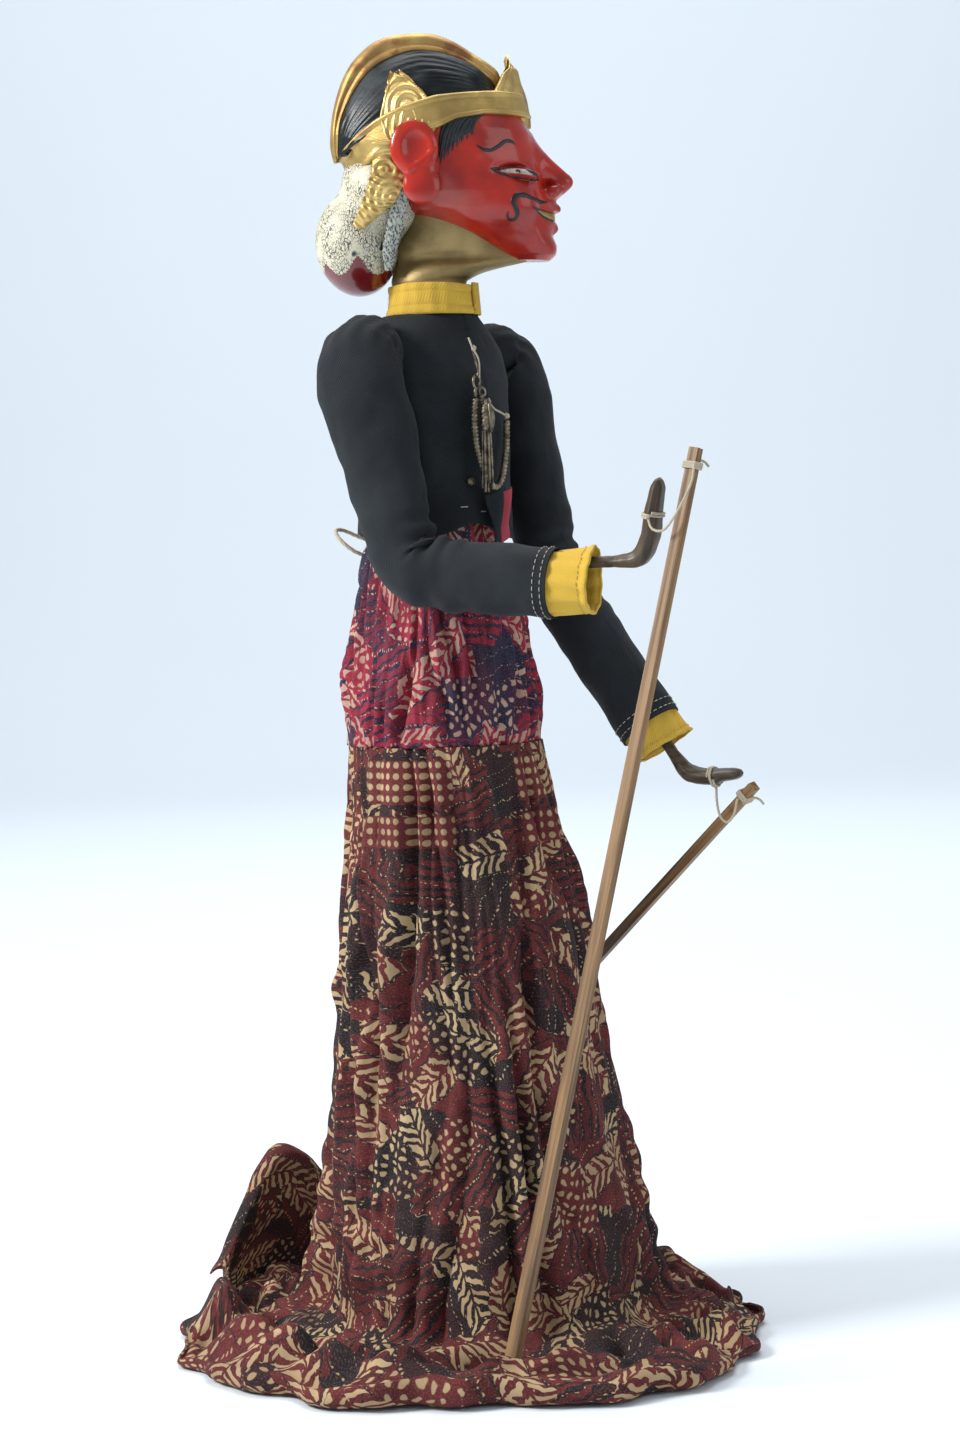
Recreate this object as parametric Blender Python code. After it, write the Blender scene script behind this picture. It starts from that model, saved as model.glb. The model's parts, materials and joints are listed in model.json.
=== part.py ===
"""A rod puppet: a carved head and torso on one central rod, jointed arms worked by two
thin rods, a cotton jacket and a long batik skirt that pools on the floor.

Metres, +Z up. The origin is under the middle of the hidden wooden stand, and the central
rod rises along Z. The torso faces -Y, so the puppet's right arm is at -X.
"""

import math

import bmesh
import bpy
from mathutils import Matrix, Vector

GAP = 0.0003

# Stand and central rod
STAND_RADIUS = 0.058
STAND_HEIGHT = 0.022
ROD_RADIUS = 0.006
ROD_FOOT = 0.0043
ROD_TOP = 0.552
PEG_HEIGHT = 0.371
PEG_RADIUS = 0.0015
PEG_LENGTH = 0.026
WASHER_THICKNESS = 0.003

# Torso and clothes
TORSO_YAW = math.radians(-7.2)
TORSO_OFFSET = 0.003
TORSO_FOOT = PEG_HEIGHT + PEG_RADIUS + WASHER_THICKNESS + 2 * GAP
TORSO_TOP = 0.513
SHOULDER_SPAN = 0.112
SHOULDER_HEIGHT = 0.500
LIFT = 0.005
CLOTH = 0.0017
WAIST_SEAM = 0.3008
JACKET_HEM = 0.4065
COLLAR_TOP = 0.5330

# Head
HEAD_YAW = math.radians(35)
NECK_RADIUS = 0.0185
NECK_FOOT = TORSO_TOP + LIFT + GAP
BROW_PLANE = 0.6097
CROWN_TOP = 0.659

# Arms, from each side's shoulder
ELBOWS = {"R": Vector((-0.057, -0.0205, 0.389)), "L": Vector((0.056, -0.031, 0.3835))}
KNUCKLES = {"R": Vector((-0.030, -0.140, 0.392)), "L": Vector((0.063, -0.107, 0.280))}
FINGERTIPS = {"R": Vector((-0.030, -0.149, 0.430)), "L": Vector((0.069, -0.1335, 0.2825))}
CUFFS = {"R": (0.0706, 0.0966), "L": (0.0905, 0.1075)}
SLEEVE_DROP = {"R": 0.0090, "L": 0.0020}
ELBOW_BENDS = {"R": 35.0, "L": 50.0}
JOINT_GAP = 0.0029
WOOD_RADIUS = 0.0052
ARMHOLE_RADIUS = 0.0125

# Arm rods
ROD_ENDS = {
    "R": (Vector((-0.024, -0.166, 0.444)), Vector((-0.1070, -0.1030, 0.0205))),
    "L": (Vector((0.068, -0.141, 0.276)), Vector((0.1705, 0.192, 0.0035))),
}
ARM_ROD_WIDTH = 0.0058
WRAP_BELOW_TOP = 0.0085
STRING_RADIUS = 0.0006

RED = (0.55, 0.02, 0.015)
GOLD = (0.55, 0.36, 0.12)
BLACK = (0.02, 0.022, 0.022)
YELLOW = (0.75, 0.45, 0.04)
BATIK = (0.22, 0.035, 0.035)
CRIMSON = (0.38, 0.03, 0.06)
BAMBOO = (0.45, 0.24, 0.11)
DARK_WOOD = (0.10, 0.065, 0.035)
PALE_WOOD = (0.55, 0.40, 0.24)
STRING = (0.62, 0.54, 0.40)
METAL = (0.45, 0.43, 0.40)


def clear_scene():
    for obj in list(bpy.data.objects):
        bpy.data.objects.remove(obj, do_unlink=True)


def finish(name, colour, roughness, metallic=0.0):
    """The material called name, made the first time it is asked for."""
    made = bpy.data.materials.get(name)
    if made is None:
        made = bpy.data.materials.new(name)
        made.use_nodes = True
        shader = made.node_tree.nodes["Principled BSDF"]
        shader.inputs["Base Color"].default_value = (*colour, 1)
        shader.inputs["Roughness"].default_value = roughness
        shader.inputs["Metallic"].default_value = metallic
    return made


def ring(centre, side, front, count=24):
    """Points round an ellipse whose two half-axes are the vectors side and front."""
    turns = (math.tau * k / count for k in range(count))
    return [centre + side * math.cos(turn) + front * math.sin(turn) for turn in turns]


def level_ring(height, half_x, half_y, x=0.0, y=0.0, count=24):
    return ring(Vector((x, y, height)), Vector((half_x, 0, 0)), Vector((0, half_y, 0)), count)


def turned(rings, yaw, y=0.0):
    """The rings moved by y and turned about Z."""
    place = Matrix.Rotation(yaw, 4, "Z") @ Matrix.Translation((0, y, 0))
    return [[place @ point for point in loop] for loop in rings]


def solid(name, rings, look, hollow=False):
    """One closed body through rings of equal length. A hollow one joins its last ring to
    its first, and a full one has a cap at each end."""
    mesh = bmesh.new()
    loops = [[mesh.verts.new(point) for point in loop] for loop in rings]
    pairs = list(zip(loops, loops[1:]))
    if hollow:
        pairs.append((loops[-1], loops[0]))
    else:
        mesh.faces.new(loops[0])
        mesh.faces.new(loops[-1])
    for lower, upper in pairs:
        for k in range(len(lower)):
            after = (k + 1) % len(lower)
            mesh.faces.new((lower[k], lower[after], upper[after], upper[k]))
    bmesh.ops.recalc_face_normals(mesh, faces=mesh.faces)
    data = bpy.data.meshes.new(name)
    mesh.to_mesh(data)
    mesh.free()
    data.shade_smooth()
    data.set_sharp_from_angle(angle=math.radians(40))
    data.materials.append(look)
    obj = bpy.data.objects.new(name, data)
    bpy.context.scene.collection.objects.link(obj)
    return obj


def shell(name, rings, thickness, look):
    """A cloth tube of the given thickness whose outer face passes through level rings."""
    inner = []
    for loop in reversed(rings):
        middle = sum(loop, Vector()) / len(loop)
        inner.append([point + (middle - point).normalized() * thickness for point in loop])
    return solid(name, rings + inner, look, hollow=True)


def rod(name, start, end, start_radius, end_radius, look, count=16):
    along = (end - start).normalized()
    side = along.orthogonal().normalized()
    front = along.cross(side)
    return solid(
        name,
        [
            ring(start, side * start_radius, front * start_radius, count),
            ring(end, side * end_radius, front * end_radius, count),
        ],
        look,
    )


def turned_piece(name, start, along, profile, look, count=16):
    """A piece turned about the line from start in the direction along, from a profile of
    (distance, radius) steps."""
    along = along.normalized()
    side = along.orthogonal().normalized()
    front = along.cross(side)
    rings = [
        ring(start + along * distance, side * radius, front * radius, count)
        for distance, radius in profile
    ]
    return solid(name, rings, look)


def ball(name, centre, radii, look, yaw=0.0, tilt=0.0, segments=20, rings=12):
    """A closed ellipsoid."""
    place = Matrix.Translation(centre) @ Matrix.Rotation(yaw, 4, "Z")
    place = place @ Matrix.Rotation(tilt, 4, "X") @ Matrix.Diagonal((*radii, 1))
    mesh = bmesh.new()
    bmesh.ops.create_uvsphere(mesh, u_segments=segments, v_segments=rings, radius=1)
    bmesh.ops.transform(mesh, matrix=place, verts=mesh.verts)
    data = bpy.data.meshes.new(name)
    mesh.to_mesh(data)
    mesh.free()
    data.shade_smooth()
    data.materials.append(look)
    obj = bpy.data.objects.new(name, data)
    bpy.context.scene.collection.objects.link(obj)
    return obj


def shape_with(obj, tool, operation):
    """Joins tool to obj or cuts it from obj, and hides tool."""
    step = obj.modifiers.new(tool.name, "BOOLEAN")
    step.operation = operation
    step.solver = "EXACT"
    step.object = tool
    tool.hide_render = True
    tool.display_type = "WIRE"


def tube(name, points, radius, look):
    """A string or cord along a smooth curve through hand-chosen points."""
    curve = bpy.data.curves.new(name, "CURVE")
    curve.dimensions = "3D"
    curve.bevel_depth = radius
    curve.bevel_resolution = 2
    curve.use_fill_caps = True
    path = smooth_path(points, max(0.0022, 5 * radius))
    spline = curve.splines.new("POLY")
    spline.points.add(len(path) - 1)
    for place, point in zip(spline.points, path):
        place.co = (*point, 1)
    curve.materials.append(look)
    obj = bpy.data.objects.new(name, curve)
    bpy.context.scene.collection.objects.link(obj)
    return obj


def smooth_path(points, step):
    """Points about a step apart on the Catmull-Rom curve through the given points."""
    points = [Vector(point) for point in points]
    framed = [2 * points[0] - points[1], *points, 2 * points[-1] - points[-2]]
    path = []
    for before, start, end, after in zip(framed, framed[1:], framed[2:], framed[3:]):
        count = max(1, round((end - start).length / step))
        for k in range(count):
            t = k / count
            path.append(
                0.5
                * (
                    2 * start
                    + (end - before) * t
                    + (2 * before - 5 * start + 4 * end - after) * t**2
                    + (3 * start - before - 3 * end + after) * t**3
                )
            )
    return path + [points[-1]]


def blended(low, high, share):
    return low + (high - low) * share


# ---------------------------------------------------------------- stand and central rod


def make_stand():
    look = finish("pale_wood", PALE_WOOD, 0.6)
    edge = 0.0015
    stand = turned_piece(
        "stand_base",
        Vector(),
        Vector((0, 0, 1)),
        [
            (0, STAND_RADIUS - edge),
            (edge, STAND_RADIUS),
            (STAND_HEIGHT - edge, STAND_RADIUS),
            (STAND_HEIGHT, STAND_RADIUS - edge),
        ],
        look,
        count=32,
    )
    socket = rod(
        "cut_stand_socket",
        Vector((0, 0, ROD_FOOT - GAP)),
        Vector((0, 0, STAND_HEIGHT + 0.01)),
        ROD_RADIUS + GAP,
        ROD_RADIUS + GAP,
        look,
    )
    shape_with(stand, socket, "DIFFERENCE")
    return stand


def make_central_rod():
    look = finish("pale_wood", PALE_WOOD, 0.6)
    stick = rod(
        "central_rod",
        Vector((0, 0, ROD_FOOT)),
        Vector((0, 0, ROD_TOP)),
        ROD_RADIUS,
        ROD_RADIUS,
        look,
    )
    half = Vector((PEG_LENGTH / 2, 0, 0))
    middle = Vector((0, 0, PEG_HEIGHT))
    hole = rod("cut_peg_hole", middle - half, middle + half, 0.0018, 0.0018, look)
    shape_with(stick, hole, "DIFFERENCE")
    peg = rod(
        "rod_stop_peg",
        middle - half,
        middle + half,
        PEG_RADIUS,
        PEG_RADIUS,
        finish("bamboo", BAMBOO, 0.5),
        count=12,
    )
    return [stick, peg]


def make_washer():
    foot = PEG_HEIGHT + PEG_RADIUS + GAP
    return solid(
        "torso_washer",
        [
            level_ring(foot, 0.011, 0.011),
            level_ring(foot + WASHER_THICKNESS, 0.011, 0.011),
            level_ring(foot + WASHER_THICKNESS, ROD_RADIUS + GAP, ROD_RADIUS + GAP),
            level_ring(foot, ROD_RADIUS + GAP, ROD_RADIUS + GAP),
        ],
        finish("leather", DARK_WOOD, 0.7),
        hollow=True,
    )


# ---------------------------------------------------------------- torso, arms


def shoulder(side):
    """The middle of one shoulder joint."""
    sign = -1 if side == "R" else 1
    place = Matrix.Rotation(TORSO_YAW, 4, "Z") @ Vector((sign * SHOULDER_SPAN / 2, 0, 0))
    return place + Vector((0, TORSO_OFFSET, SHOULDER_HEIGHT))


def outward(side):
    """The direction from the torso out through one shoulder."""
    sign = -1 if side == "R" else 1
    return Matrix.Rotation(TORSO_YAW, 4, "Z") @ Vector((sign, 0, 0))


def make_torso():
    look = finish("pale_wood", PALE_WOOD, 0.6)
    steps = (
        (TORSO_FOOT, 0.0265, 0.0205),
        (0.400, 0.0280, 0.0225),
        (0.440, 0.0320, 0.0255),
        (0.475, 0.0350, 0.0275),
        (0.496, 0.0345, 0.0250),
        (0.507, 0.0300, 0.0210),
        (TORSO_TOP, 0.0205, 0.0185),
    )
    rings = [level_ring(z, half_x, half_y) for z, half_x, half_y in steps]
    torso = solid("torso", turned(rings, TORSO_YAW, TORSO_OFFSET), look)
    bore_radius = ROD_RADIUS + 2 * GAP
    foot = Vector((0, 0, TORSO_FOOT - 0.01))
    top = Vector((0, 0, TORSO_TOP + 0.01))
    shape_with(torso, rod("cut_torso_bore", foot, top, bore_radius, bore_radius, look), "DIFFERENCE")
    for side in "RL":
        inner = shoulder(side) - outward(side) * (SHOULDER_SPAN / 2 - 0.018)
        hole = rod(f"cut_cord_hole_{side}", inner, shoulder(side), 0.0017, 0.0017, look, count=12)
        shape_with(torso, hole, "DIFFERENCE")
    return torso


def make_shoulder_cord(side):
    """A knotted cord end: it turns in its hole in the torso and holds the arm by its knot."""
    start = shoulder(side) - outward(side) * (SHOULDER_SPAN / 2 - 0.020)
    knot = SHOULDER_SPAN / 2 - 0.020
    profile = [(0, 0.0012), (knot - 0.0022, 0.0012), (knot - 0.0015, 0.0020)]
    profile += [(knot, 0.0023), (knot + 0.0015, 0.0018), (knot + 0.0022, 0.0008)]
    return turned_piece(
        f"shoulder_cord_{side}",
        start,
        outward(side),
        profile,
        finish("string", STRING, 0.9),
        count=10,
    )


def make_upper_arm(side):
    look = finish("dark_wood", DARK_WOOD, 0.5)
    start, end = shoulder(side), ELBOWS[side]
    length = (end - start).length
    radius = WOOD_RADIUS
    profile = [
        (JOINT_GAP, 0.0014),
        (JOINT_GAP + 0.15 * radius, 0.55 * radius),
        (JOINT_GAP + 0.50 * radius, 0.88 * radius),
        (JOINT_GAP + radius, radius),
        (0.45 * length, 1.2 * radius),
        (length - JOINT_GAP - radius, 0.96 * radius),
        (length - JOINT_GAP - 0.50 * radius, 0.84 * radius),
        (length - JOINT_GAP - 0.15 * radius, 0.52 * radius),
        (length - JOINT_GAP, 0.0019),
    ]
    arm = turned_piece(f"upper_arm_{side}", start, end - start, profile, look)
    along = (end - start).normalized()
    hole = rod(f"cut_elbow_hole_{side}", end - along * 0.016, end, 0.0015, 0.0015, look, count=10)
    shape_with(arm, hole, "DIFFERENCE")
    return arm


def make_elbow_cord(side):
    """The cord from the upper arm, knotted in the middle of the elbow."""
    along = (ELBOWS[side] - shoulder(side)).normalized()
    return turned_piece(
        f"elbow_cord_{side}",
        ELBOWS[side] - along * 0.0150,
        along,
        [(0, 0.0011), (0.0134, 0.0011), (0.0142, 0.0017), (0.0150, 0.0020), (0.0162, 0.0014)],
        finish("string", STRING, 0.9),
        count=10,
    )


def make_forearm(side):
    """The forearm, wrist and flat hand, carved from one stick."""
    elbow, knuckle, tip = ELBOWS[side], KNUCKLES[side], FINGERTIPS[side]
    along = (knuckle - elbow).normalized()
    reach = (knuckle - elbow).length
    hand = (tip - knuckle).normalized()
    palm_side = along.cross(hand).normalized()
    flat = 0.0052
    stations = [
        (elbow + along * JOINT_GAP, along, 0.0012, 0.0012),
        (elbow + along * (JOINT_GAP + 0.0008), along, 0.0029, 0.0029),
        (elbow + along * (JOINT_GAP + 0.0026), along, 0.0046, 0.0046),
        (elbow + along * (JOINT_GAP + WOOD_RADIUS), along, WOOD_RADIUS, WOOD_RADIUS),
        (elbow + along * 0.40 * reach, along, WOOD_RADIUS, WOOD_RADIUS),
        (elbow + along * 0.80 * reach, along, 0.0040, 0.0037),
        (knuckle - along * 0.0070, along, 0.0046, 0.0040),
        (knuckle - along * 0.0015 + hand * 0.0012, (along + hand).normalized(), 0.0060, flat),
        (knuckle + hand * 0.0090, hand, 0.0072, flat),
        (blended(knuckle, tip, 0.60), hand, 0.0068, 0.0046),
        (tip - hand * 0.0040, hand, 0.0052, 0.0034),
        (tip, hand, 0.0024, 0.0014),
    ]
    rings = [
        ring(centre, palm_side * width, palm_side.cross(heading) * depth, 16)
        for centre, heading, width, depth in stations
    ]
    return solid(f"forearm_hand_{side}", rings, finish("dark_wood", DARK_WOOD, 0.45))


def make_arm_rod(side):
    top, foot = ROD_ENDS[side]
    along = (top - foot).normalized()
    across = along.orthogonal().normalized() * ARM_ROD_WIDTH / math.sqrt(2)
    other = along.cross(across)
    look = finish("bamboo", BAMBOO, 0.45)
    stick = solid(
        f"arm_rod_{side}",
        [ring(foot, across, other, 4), ring(top, across * 0.85, other * 0.85, 4)],
        look,
    )
    wrap_radius = ARM_ROD_WIDTH / math.sqrt(2) + GAP
    middle = top - along * WRAP_BELOW_TOP
    axis_side = across.normalized()
    axis_front = other.normalized()
    rings = [
        ring(middle + along * step, axis_side * radius, axis_front * radius, 16)
        for step, radius in (
            (-0.0016, wrap_radius),
            (-0.0013, wrap_radius + 0.0011),
            (0.0013, wrap_radius + 0.0011),
            (0.0016, wrap_radius),
        )
    ]
    wrap = solid(f"rod_wrap_{side}", rings, finish("string", STRING, 0.9), hollow=True)
    return [stick, wrap]


HAND_STRINGS = {
    "R": (
        (-0.0378, -0.1465, 0.4125),
        (-0.0395, -0.1500, 0.4065),
        (-0.0392, -0.1565, 0.4060),
        (-0.0370, -0.1630, 0.4150),
        (-0.0337, -0.1683, 0.4270),
        (-0.0312, -0.1691, 0.4361),
    ),
    "L": (
        (0.0655, -0.1205, 0.2755),
        (0.0640, -0.1215, 0.2680),
        (0.0625, -0.1240, 0.2610),
        (0.0615, -0.1285, 0.2580),
        (0.0615, -0.1325, 0.2620),
        (0.0638, -0.1335, 0.2699),
    ),
}


def make_hand_string(side):
    return tube(
        f"hand_string_{side}", HAND_STRINGS[side], STRING_RADIUS, finish("string", STRING, 0.9)
    )


# ---------------------------------------------------------------- head


def make_head():
    look = finish("red_lacquer", RED, 0.2)
    stations = (
        (-0.0400, 0.592, 0.622, 0.017),
        (-0.0250, 0.574, 0.628, 0.026),
        (-0.0050, 0.562, 0.630, 0.029),
        (0.0150, 0.5600, 0.630, 0.0285),
        (0.0350, 0.5490, 0.628, 0.0245),
        (0.0500, 0.5455, 0.621, 0.0180),
        (0.0590, 0.5495, 0.596, 0.0110),
        (0.0640, 0.5625, 0.574, 0.0050),
    )
    rings = [
        ring(
            Vector((0, -forward, (low + high) / 2)),
            Vector((half_width, 0, 0)),
            Vector((0, 0, (high - low) / 2)),
            20,
        )
        for forward, low, high, half_width in stations
    ]
    head = solid("head", turned(rings, HEAD_YAW), look)
    nose_steps = ((0.050, 0.5930, 0.0080, 0.0120), (0.0640, 0.5855, 0.0045, 0.0065), (0.0722, 0.5845, 0.0018, 0.0020))
    nose_rings = [
        ring(Vector((0, -forward, z)), Vector((half_width, 0, 0)), Vector((0, 0, half_height)), 12)
        for forward, z, half_width, half_height in nose_steps
    ]
    shape_with(head, solid("join_nose", turned(nose_rings, HEAD_YAW), look), "UNION")
    neck_steps = ((NECK_FOOT, NECK_RADIUS, 0.0), (0.540, 0.0187, 0.0), (0.5700, 0.024, 0.004))
    neck = [level_ring(z, radius, radius, y=-forward) for z, radius, forward in neck_steps]
    shape_with(head, solid("join_neck", turned(neck, HEAD_YAW), look), "UNION")
    turn = Matrix.Rotation(HEAD_YAW, 4, "Z")
    bun_middle = turn @ Vector((0, 0.0375, 0.5560))
    shape_with(head, ball("join_bun", bun_middle, (0.0215, 0.0210, 0.0245), look, HEAD_YAW), "UNION")
    for sign in (-1, 1):
        ear_middle = turn @ Vector((sign * 0.0305, 0.0060, 0.5950))
        ear = ball(f"join_ear_{sign + 1}", ear_middle, (0.0045, 0.0115, 0.0200), look, HEAD_YAW)
        shape_with(head, ear, "UNION")
    above = solid(
        "cut_above_brow",
        [level_ring(z, 0.12, 0.12, count=8) for z in (BROW_PLANE, BROW_PLANE + 0.06)],
        look,
    )
    shape_with(head, above, "DIFFERENCE")
    bore = rod(
        "cut_neck_bore",
        Vector((0, 0, NECK_FOOT - 0.01)),
        Vector((0, 0, ROD_TOP + GAP)),
        ROD_RADIUS + GAP,
        ROD_RADIUS + GAP,
        look,
    )
    shape_with(head, bore, "DIFFERENCE")
    return head


def make_headdress():
    """The rounded crown with its rim, and the leaf ornaments over the brow and the ears."""
    look = finish("gold_paint", GOLD, 0.4, 0.6)
    steps = (
        (BROW_PLANE + GAP, 0.0015, 0.0330, 0.0490),
        (0.6200, 0.0010, 0.0340, 0.0495),
        (0.6300, -0.0015, 0.0330, 0.0450),
        (0.6400, -0.0020, 0.0290, 0.0375),
        (0.6500, -0.0010, 0.0215, 0.0270),
        (0.6560, -0.0010, 0.0130, 0.0160),
        (CROWN_TOP, -0.0010, 0.0040, 0.0050),
    )
    rings = [level_ring(z, half_x, half_y, y=-forward, count=28) for z, forward, half_x, half_y in steps]
    crown = solid("headdress", turned(rings, HEAD_YAW), look)
    front_leaf = [
        level_ring(0.618, 0.0100, 0.0060, y=-0.0440, count=8),
        level_ring(0.632, 0.0085, 0.0045, y=-0.0440, count=8),
        level_ring(0.6475, 0.0010, 0.0010, y=-0.0405, count=8),
    ]
    shape_with(crown, solid("join_front_leaf", turned(front_leaf, HEAD_YAW), look), "UNION")
    for sign in (-1, 1):
        side_leaf = [
            level_ring(0.612, 0.0040, 0.0125, x=sign * 0.0325, y=0.002, count=8),
            level_ring(0.624, 0.0035, 0.0105, x=sign * 0.0330, y=0.006, count=8),
            level_ring(0.6405, 0.0010, 0.0012, x=sign * 0.0320, y=0.013, count=8),
        ]
        leaf = solid(f"join_side_leaf_{sign + 1}", turned(side_leaf, HEAD_YAW), look)
        shape_with(crown, leaf, "UNION")
    return crown


# ---------------------------------------------------------------- clothes


def make_jacket():
    look = finish("black_twill", BLACK, 0.9)
    steps = (
        (JACKET_HEM, 0.0410, 0.0370),
        (0.4300, 0.0395, 0.0365),
        (0.4600, 0.0385, 0.0378),
        (0.4830, 0.0385, 0.0372),
        (0.4990, 0.0378, 0.0312),
        (0.5090, 0.0335, 0.0262),
        (0.5170, 0.0240, 0.0240),
    )
    rings = [level_ring(z, half_x, half_y) for z, half_x, half_y in steps]
    jacket = shell("jacket_body", turned(rings, TORSO_YAW, TORSO_OFFSET), CLOTH, look)
    for side in "RL":
        out = outward(side)
        inner = shoulder(side) - out * 0.032 - Vector((0, 0, 0.003))
        outer = shoulder(side) - Vector((0, 0, 0.003))
        hole = rod(f"cut_armhole_{side}", inner, outer, ARMHOLE_RADIUS, ARMHOLE_RADIUS, look)
        shape_with(jacket, hole, "DIFFERENCE")
    return jacket


def make_collar():
    rings = [
        level_ring(0.5185, 0.0232, 0.0232),
        level_ring(0.5250, 0.0225, 0.0225),
        level_ring(COLLAR_TOP, 0.0222, 0.0222),
    ]
    return shell("collar", rings, 0.0018, finish("yellow_cotton", YELLOW, 0.85))


def sleeve_frame(side, along, other):
    """Two directions across a sleeve: out from the body, and towards the elbow's inside."""
    across = along.cross(other).normalized()
    if across.dot(outward(side)) < 0:
        across = -across
    inside = (other - along * other.dot(along)).normalized()
    return across, inside


def bend_angles(side):
    """The elbow's least and greatest bend, in radians."""
    upper = (ELBOWS[side] - shoulder(side)).normalized()
    lower = (KNUCKLES[side] - ELBOWS[side]).normalized()
    rest = upper.angle(lower)
    return rest, rest + math.radians(ELBOW_BENDS[side])


def elbow_cut(depth, side):
    """How far short of the elbow a sleeve ends at a given depth towards its inside, so
    that the two sleeves meet at the ends of the elbow's range and don't cross."""
    least, most = bend_angles(side)
    clearance = 0.0006
    if depth > 0:
        return depth * math.tan(most / 2) + clearance
    return depth * math.tan(least / 2) + clearance


def make_upper_sleeve(side):
    start, end = shoulder(side), ELBOWS[side]
    along = (end - start).normalized()
    length = (end - start).length
    across, inside = sleeve_frame(side, along, (KNUCKLES[side] - end).normalized())
    outer, inner = [], []
    for share, half_across, half_inside in (
        (0.0, 0.0148, 0.0200),
        (0.30, 0.0148, 0.0210),
        (0.62, 0.0148, 0.0190),
        (1.0, 0.0150, 0.0165),
    ):
        for rings, less in ((outer, 0.0), (inner, CLOTH)):
            loop = []
            for k in range(20):
                turn = math.tau * k / 20
                wide = (half_across - less) * math.cos(turn)
                deep = (half_inside - less) * math.sin(turn)
                far = share * length
                if share == 0.0:
                    far = -0.001 - 0.015 * math.cos(turn)
                if share == 1.0:
                    far = length - elbow_cut(deep, side)
                loop.append(start + along * far + across * wide + inside * deep)
            rings.append(loop)
    look = finish("black_twill", BLACK, 0.9)
    return solid(f"sleeve_upper_{side}", outer + inner[::-1], look, hollow=True)


def make_lower_sleeve(side):
    start, end = ELBOWS[side], KNUCKLES[side]
    along = (end - start).normalized()
    upper = (shoulder(side) - start).normalized()
    across, inside = sleeve_frame(side, along, upper)
    cuff_start = CUFFS[side][0] - GAP
    outer, inner = [], []
    for share, half_across, half_inside in (
        (0.0, 0.0150, 0.0165),
        (0.55, 0.0150, 0.0172),
        (1.0, 0.0148, 0.0160),
    ):
        for rings, less in ((outer, 0.0), (inner, CLOTH)):
            loop = []
            for k in range(20):
                turn = math.tau * k / 20
                wide = (half_across - less) * math.cos(turn)
                deep = (half_inside - less) * math.sin(turn)
                far = share * cuff_start
                if share == 0.0:
                    far = elbow_cut(deep, side)
                drop = SLEEVE_DROP[side] * share
                loop.append(start + along * far + across * wide + inside * (deep - drop))
            rings.append(loop)
    look = finish("black_twill", BLACK, 0.9)
    return solid(f"sleeve_lower_{side}", outer + inner[::-1], look, hollow=True)


def make_cuff(side):
    start, end = ELBOWS[side], KNUCKLES[side]
    along = (end - start).normalized()
    across, inside = sleeve_frame(side, along, (shoulder(side) - start).normalized())
    rings = [
        ring(
            start + along * far - inside * SLEEVE_DROP[side],
            across * half_across,
            inside * half_inside,
            20,
        )
        for far, half_across, half_inside in (
            (CUFFS[side][0], 0.0150, 0.0163),
            (CUFFS[side][1], 0.0152, 0.0160),
        )
    ]
    return shell(f"cuff_{side}", rings, 0.0018, finish("yellow_cotton", YELLOW, 0.85))


def skirt_middle(height):
    """How far the skirt leans away from the rod at a height, as x and y."""
    lean = 0.0118 * max(0.0, 1 - (height / WAIST_SEAM) ** 2)
    return lean * math.cos(math.radians(-55)), lean * math.sin(math.radians(-55))


def make_upper_skirt():
    steps = (
        (WAIST_SEAM + 0.0007, 0.0487, 0.0487),
        (0.3240, 0.0467, 0.0467),
        (0.3450, 0.0440, 0.0440),
        (0.3650, 0.0415, 0.0415),
        (0.3850, 0.0385, 0.0380),
        (0.3985, 0.0362, 0.0340),
        (0.4045, 0.0340, 0.0308),
        (0.4160, 0.0335, 0.0300),
    )
    rings = [level_ring(z, half_x, half_y, y=TORSO_OFFSET / 2) for z, half_x, half_y in steps]
    return shell(
        "skirt_upper", turned(rings, TORSO_YAW), 0.0016, finish("batik_crimson", CRIMSON, 0.9)
    )


def pool_edge(turn):
    """The distance from the rod to the pool's edge in one direction."""
    broad = 0.148 + 0.026 * math.cos(turn - math.radians(-165))
    ripple = 0.007 * math.sin(3 * turn + 0.6) + 0.005 * math.sin(5 * turn - 0.8)
    tongue = 0.016 * math.exp(-(((turn - math.radians(-162)) / 0.22) ** 2))
    return broad + ripple + tongue


SKIRT_WALLS = ((0.2730, 0.0505), (0.2220, 0.0594), (0.1700, 0.0645), (0.1190, 0.0714), (0.0670, 0.0803))
SKIRT_WALL = 0.0018
POOL_HEIGHT = 0.030
SKIRT_FOOT_RADIUS = 0.0860


def make_lower_skirt():
    """The long skirt, from its seam down to where it meets the cloth on the floor."""
    count = 36
    levels = ((WAIST_SEAM, 0.0487), *SKIRT_WALLS, (POOL_HEIGHT + 2 * GAP, SKIRT_FOOT_RADIUS))
    rings = [level_ring(z, radius, radius, *skirt_middle(z), count) for z, radius in levels]
    rings += [
        level_ring(z, radius - SKIRT_WALL, radius - SKIRT_WALL, *skirt_middle(z), count)
        for z, radius in reversed(levels)
    ]
    return solid("skirt_lower", rings, finish("batik_red", BATIK, 0.9), hollow=True)


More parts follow.
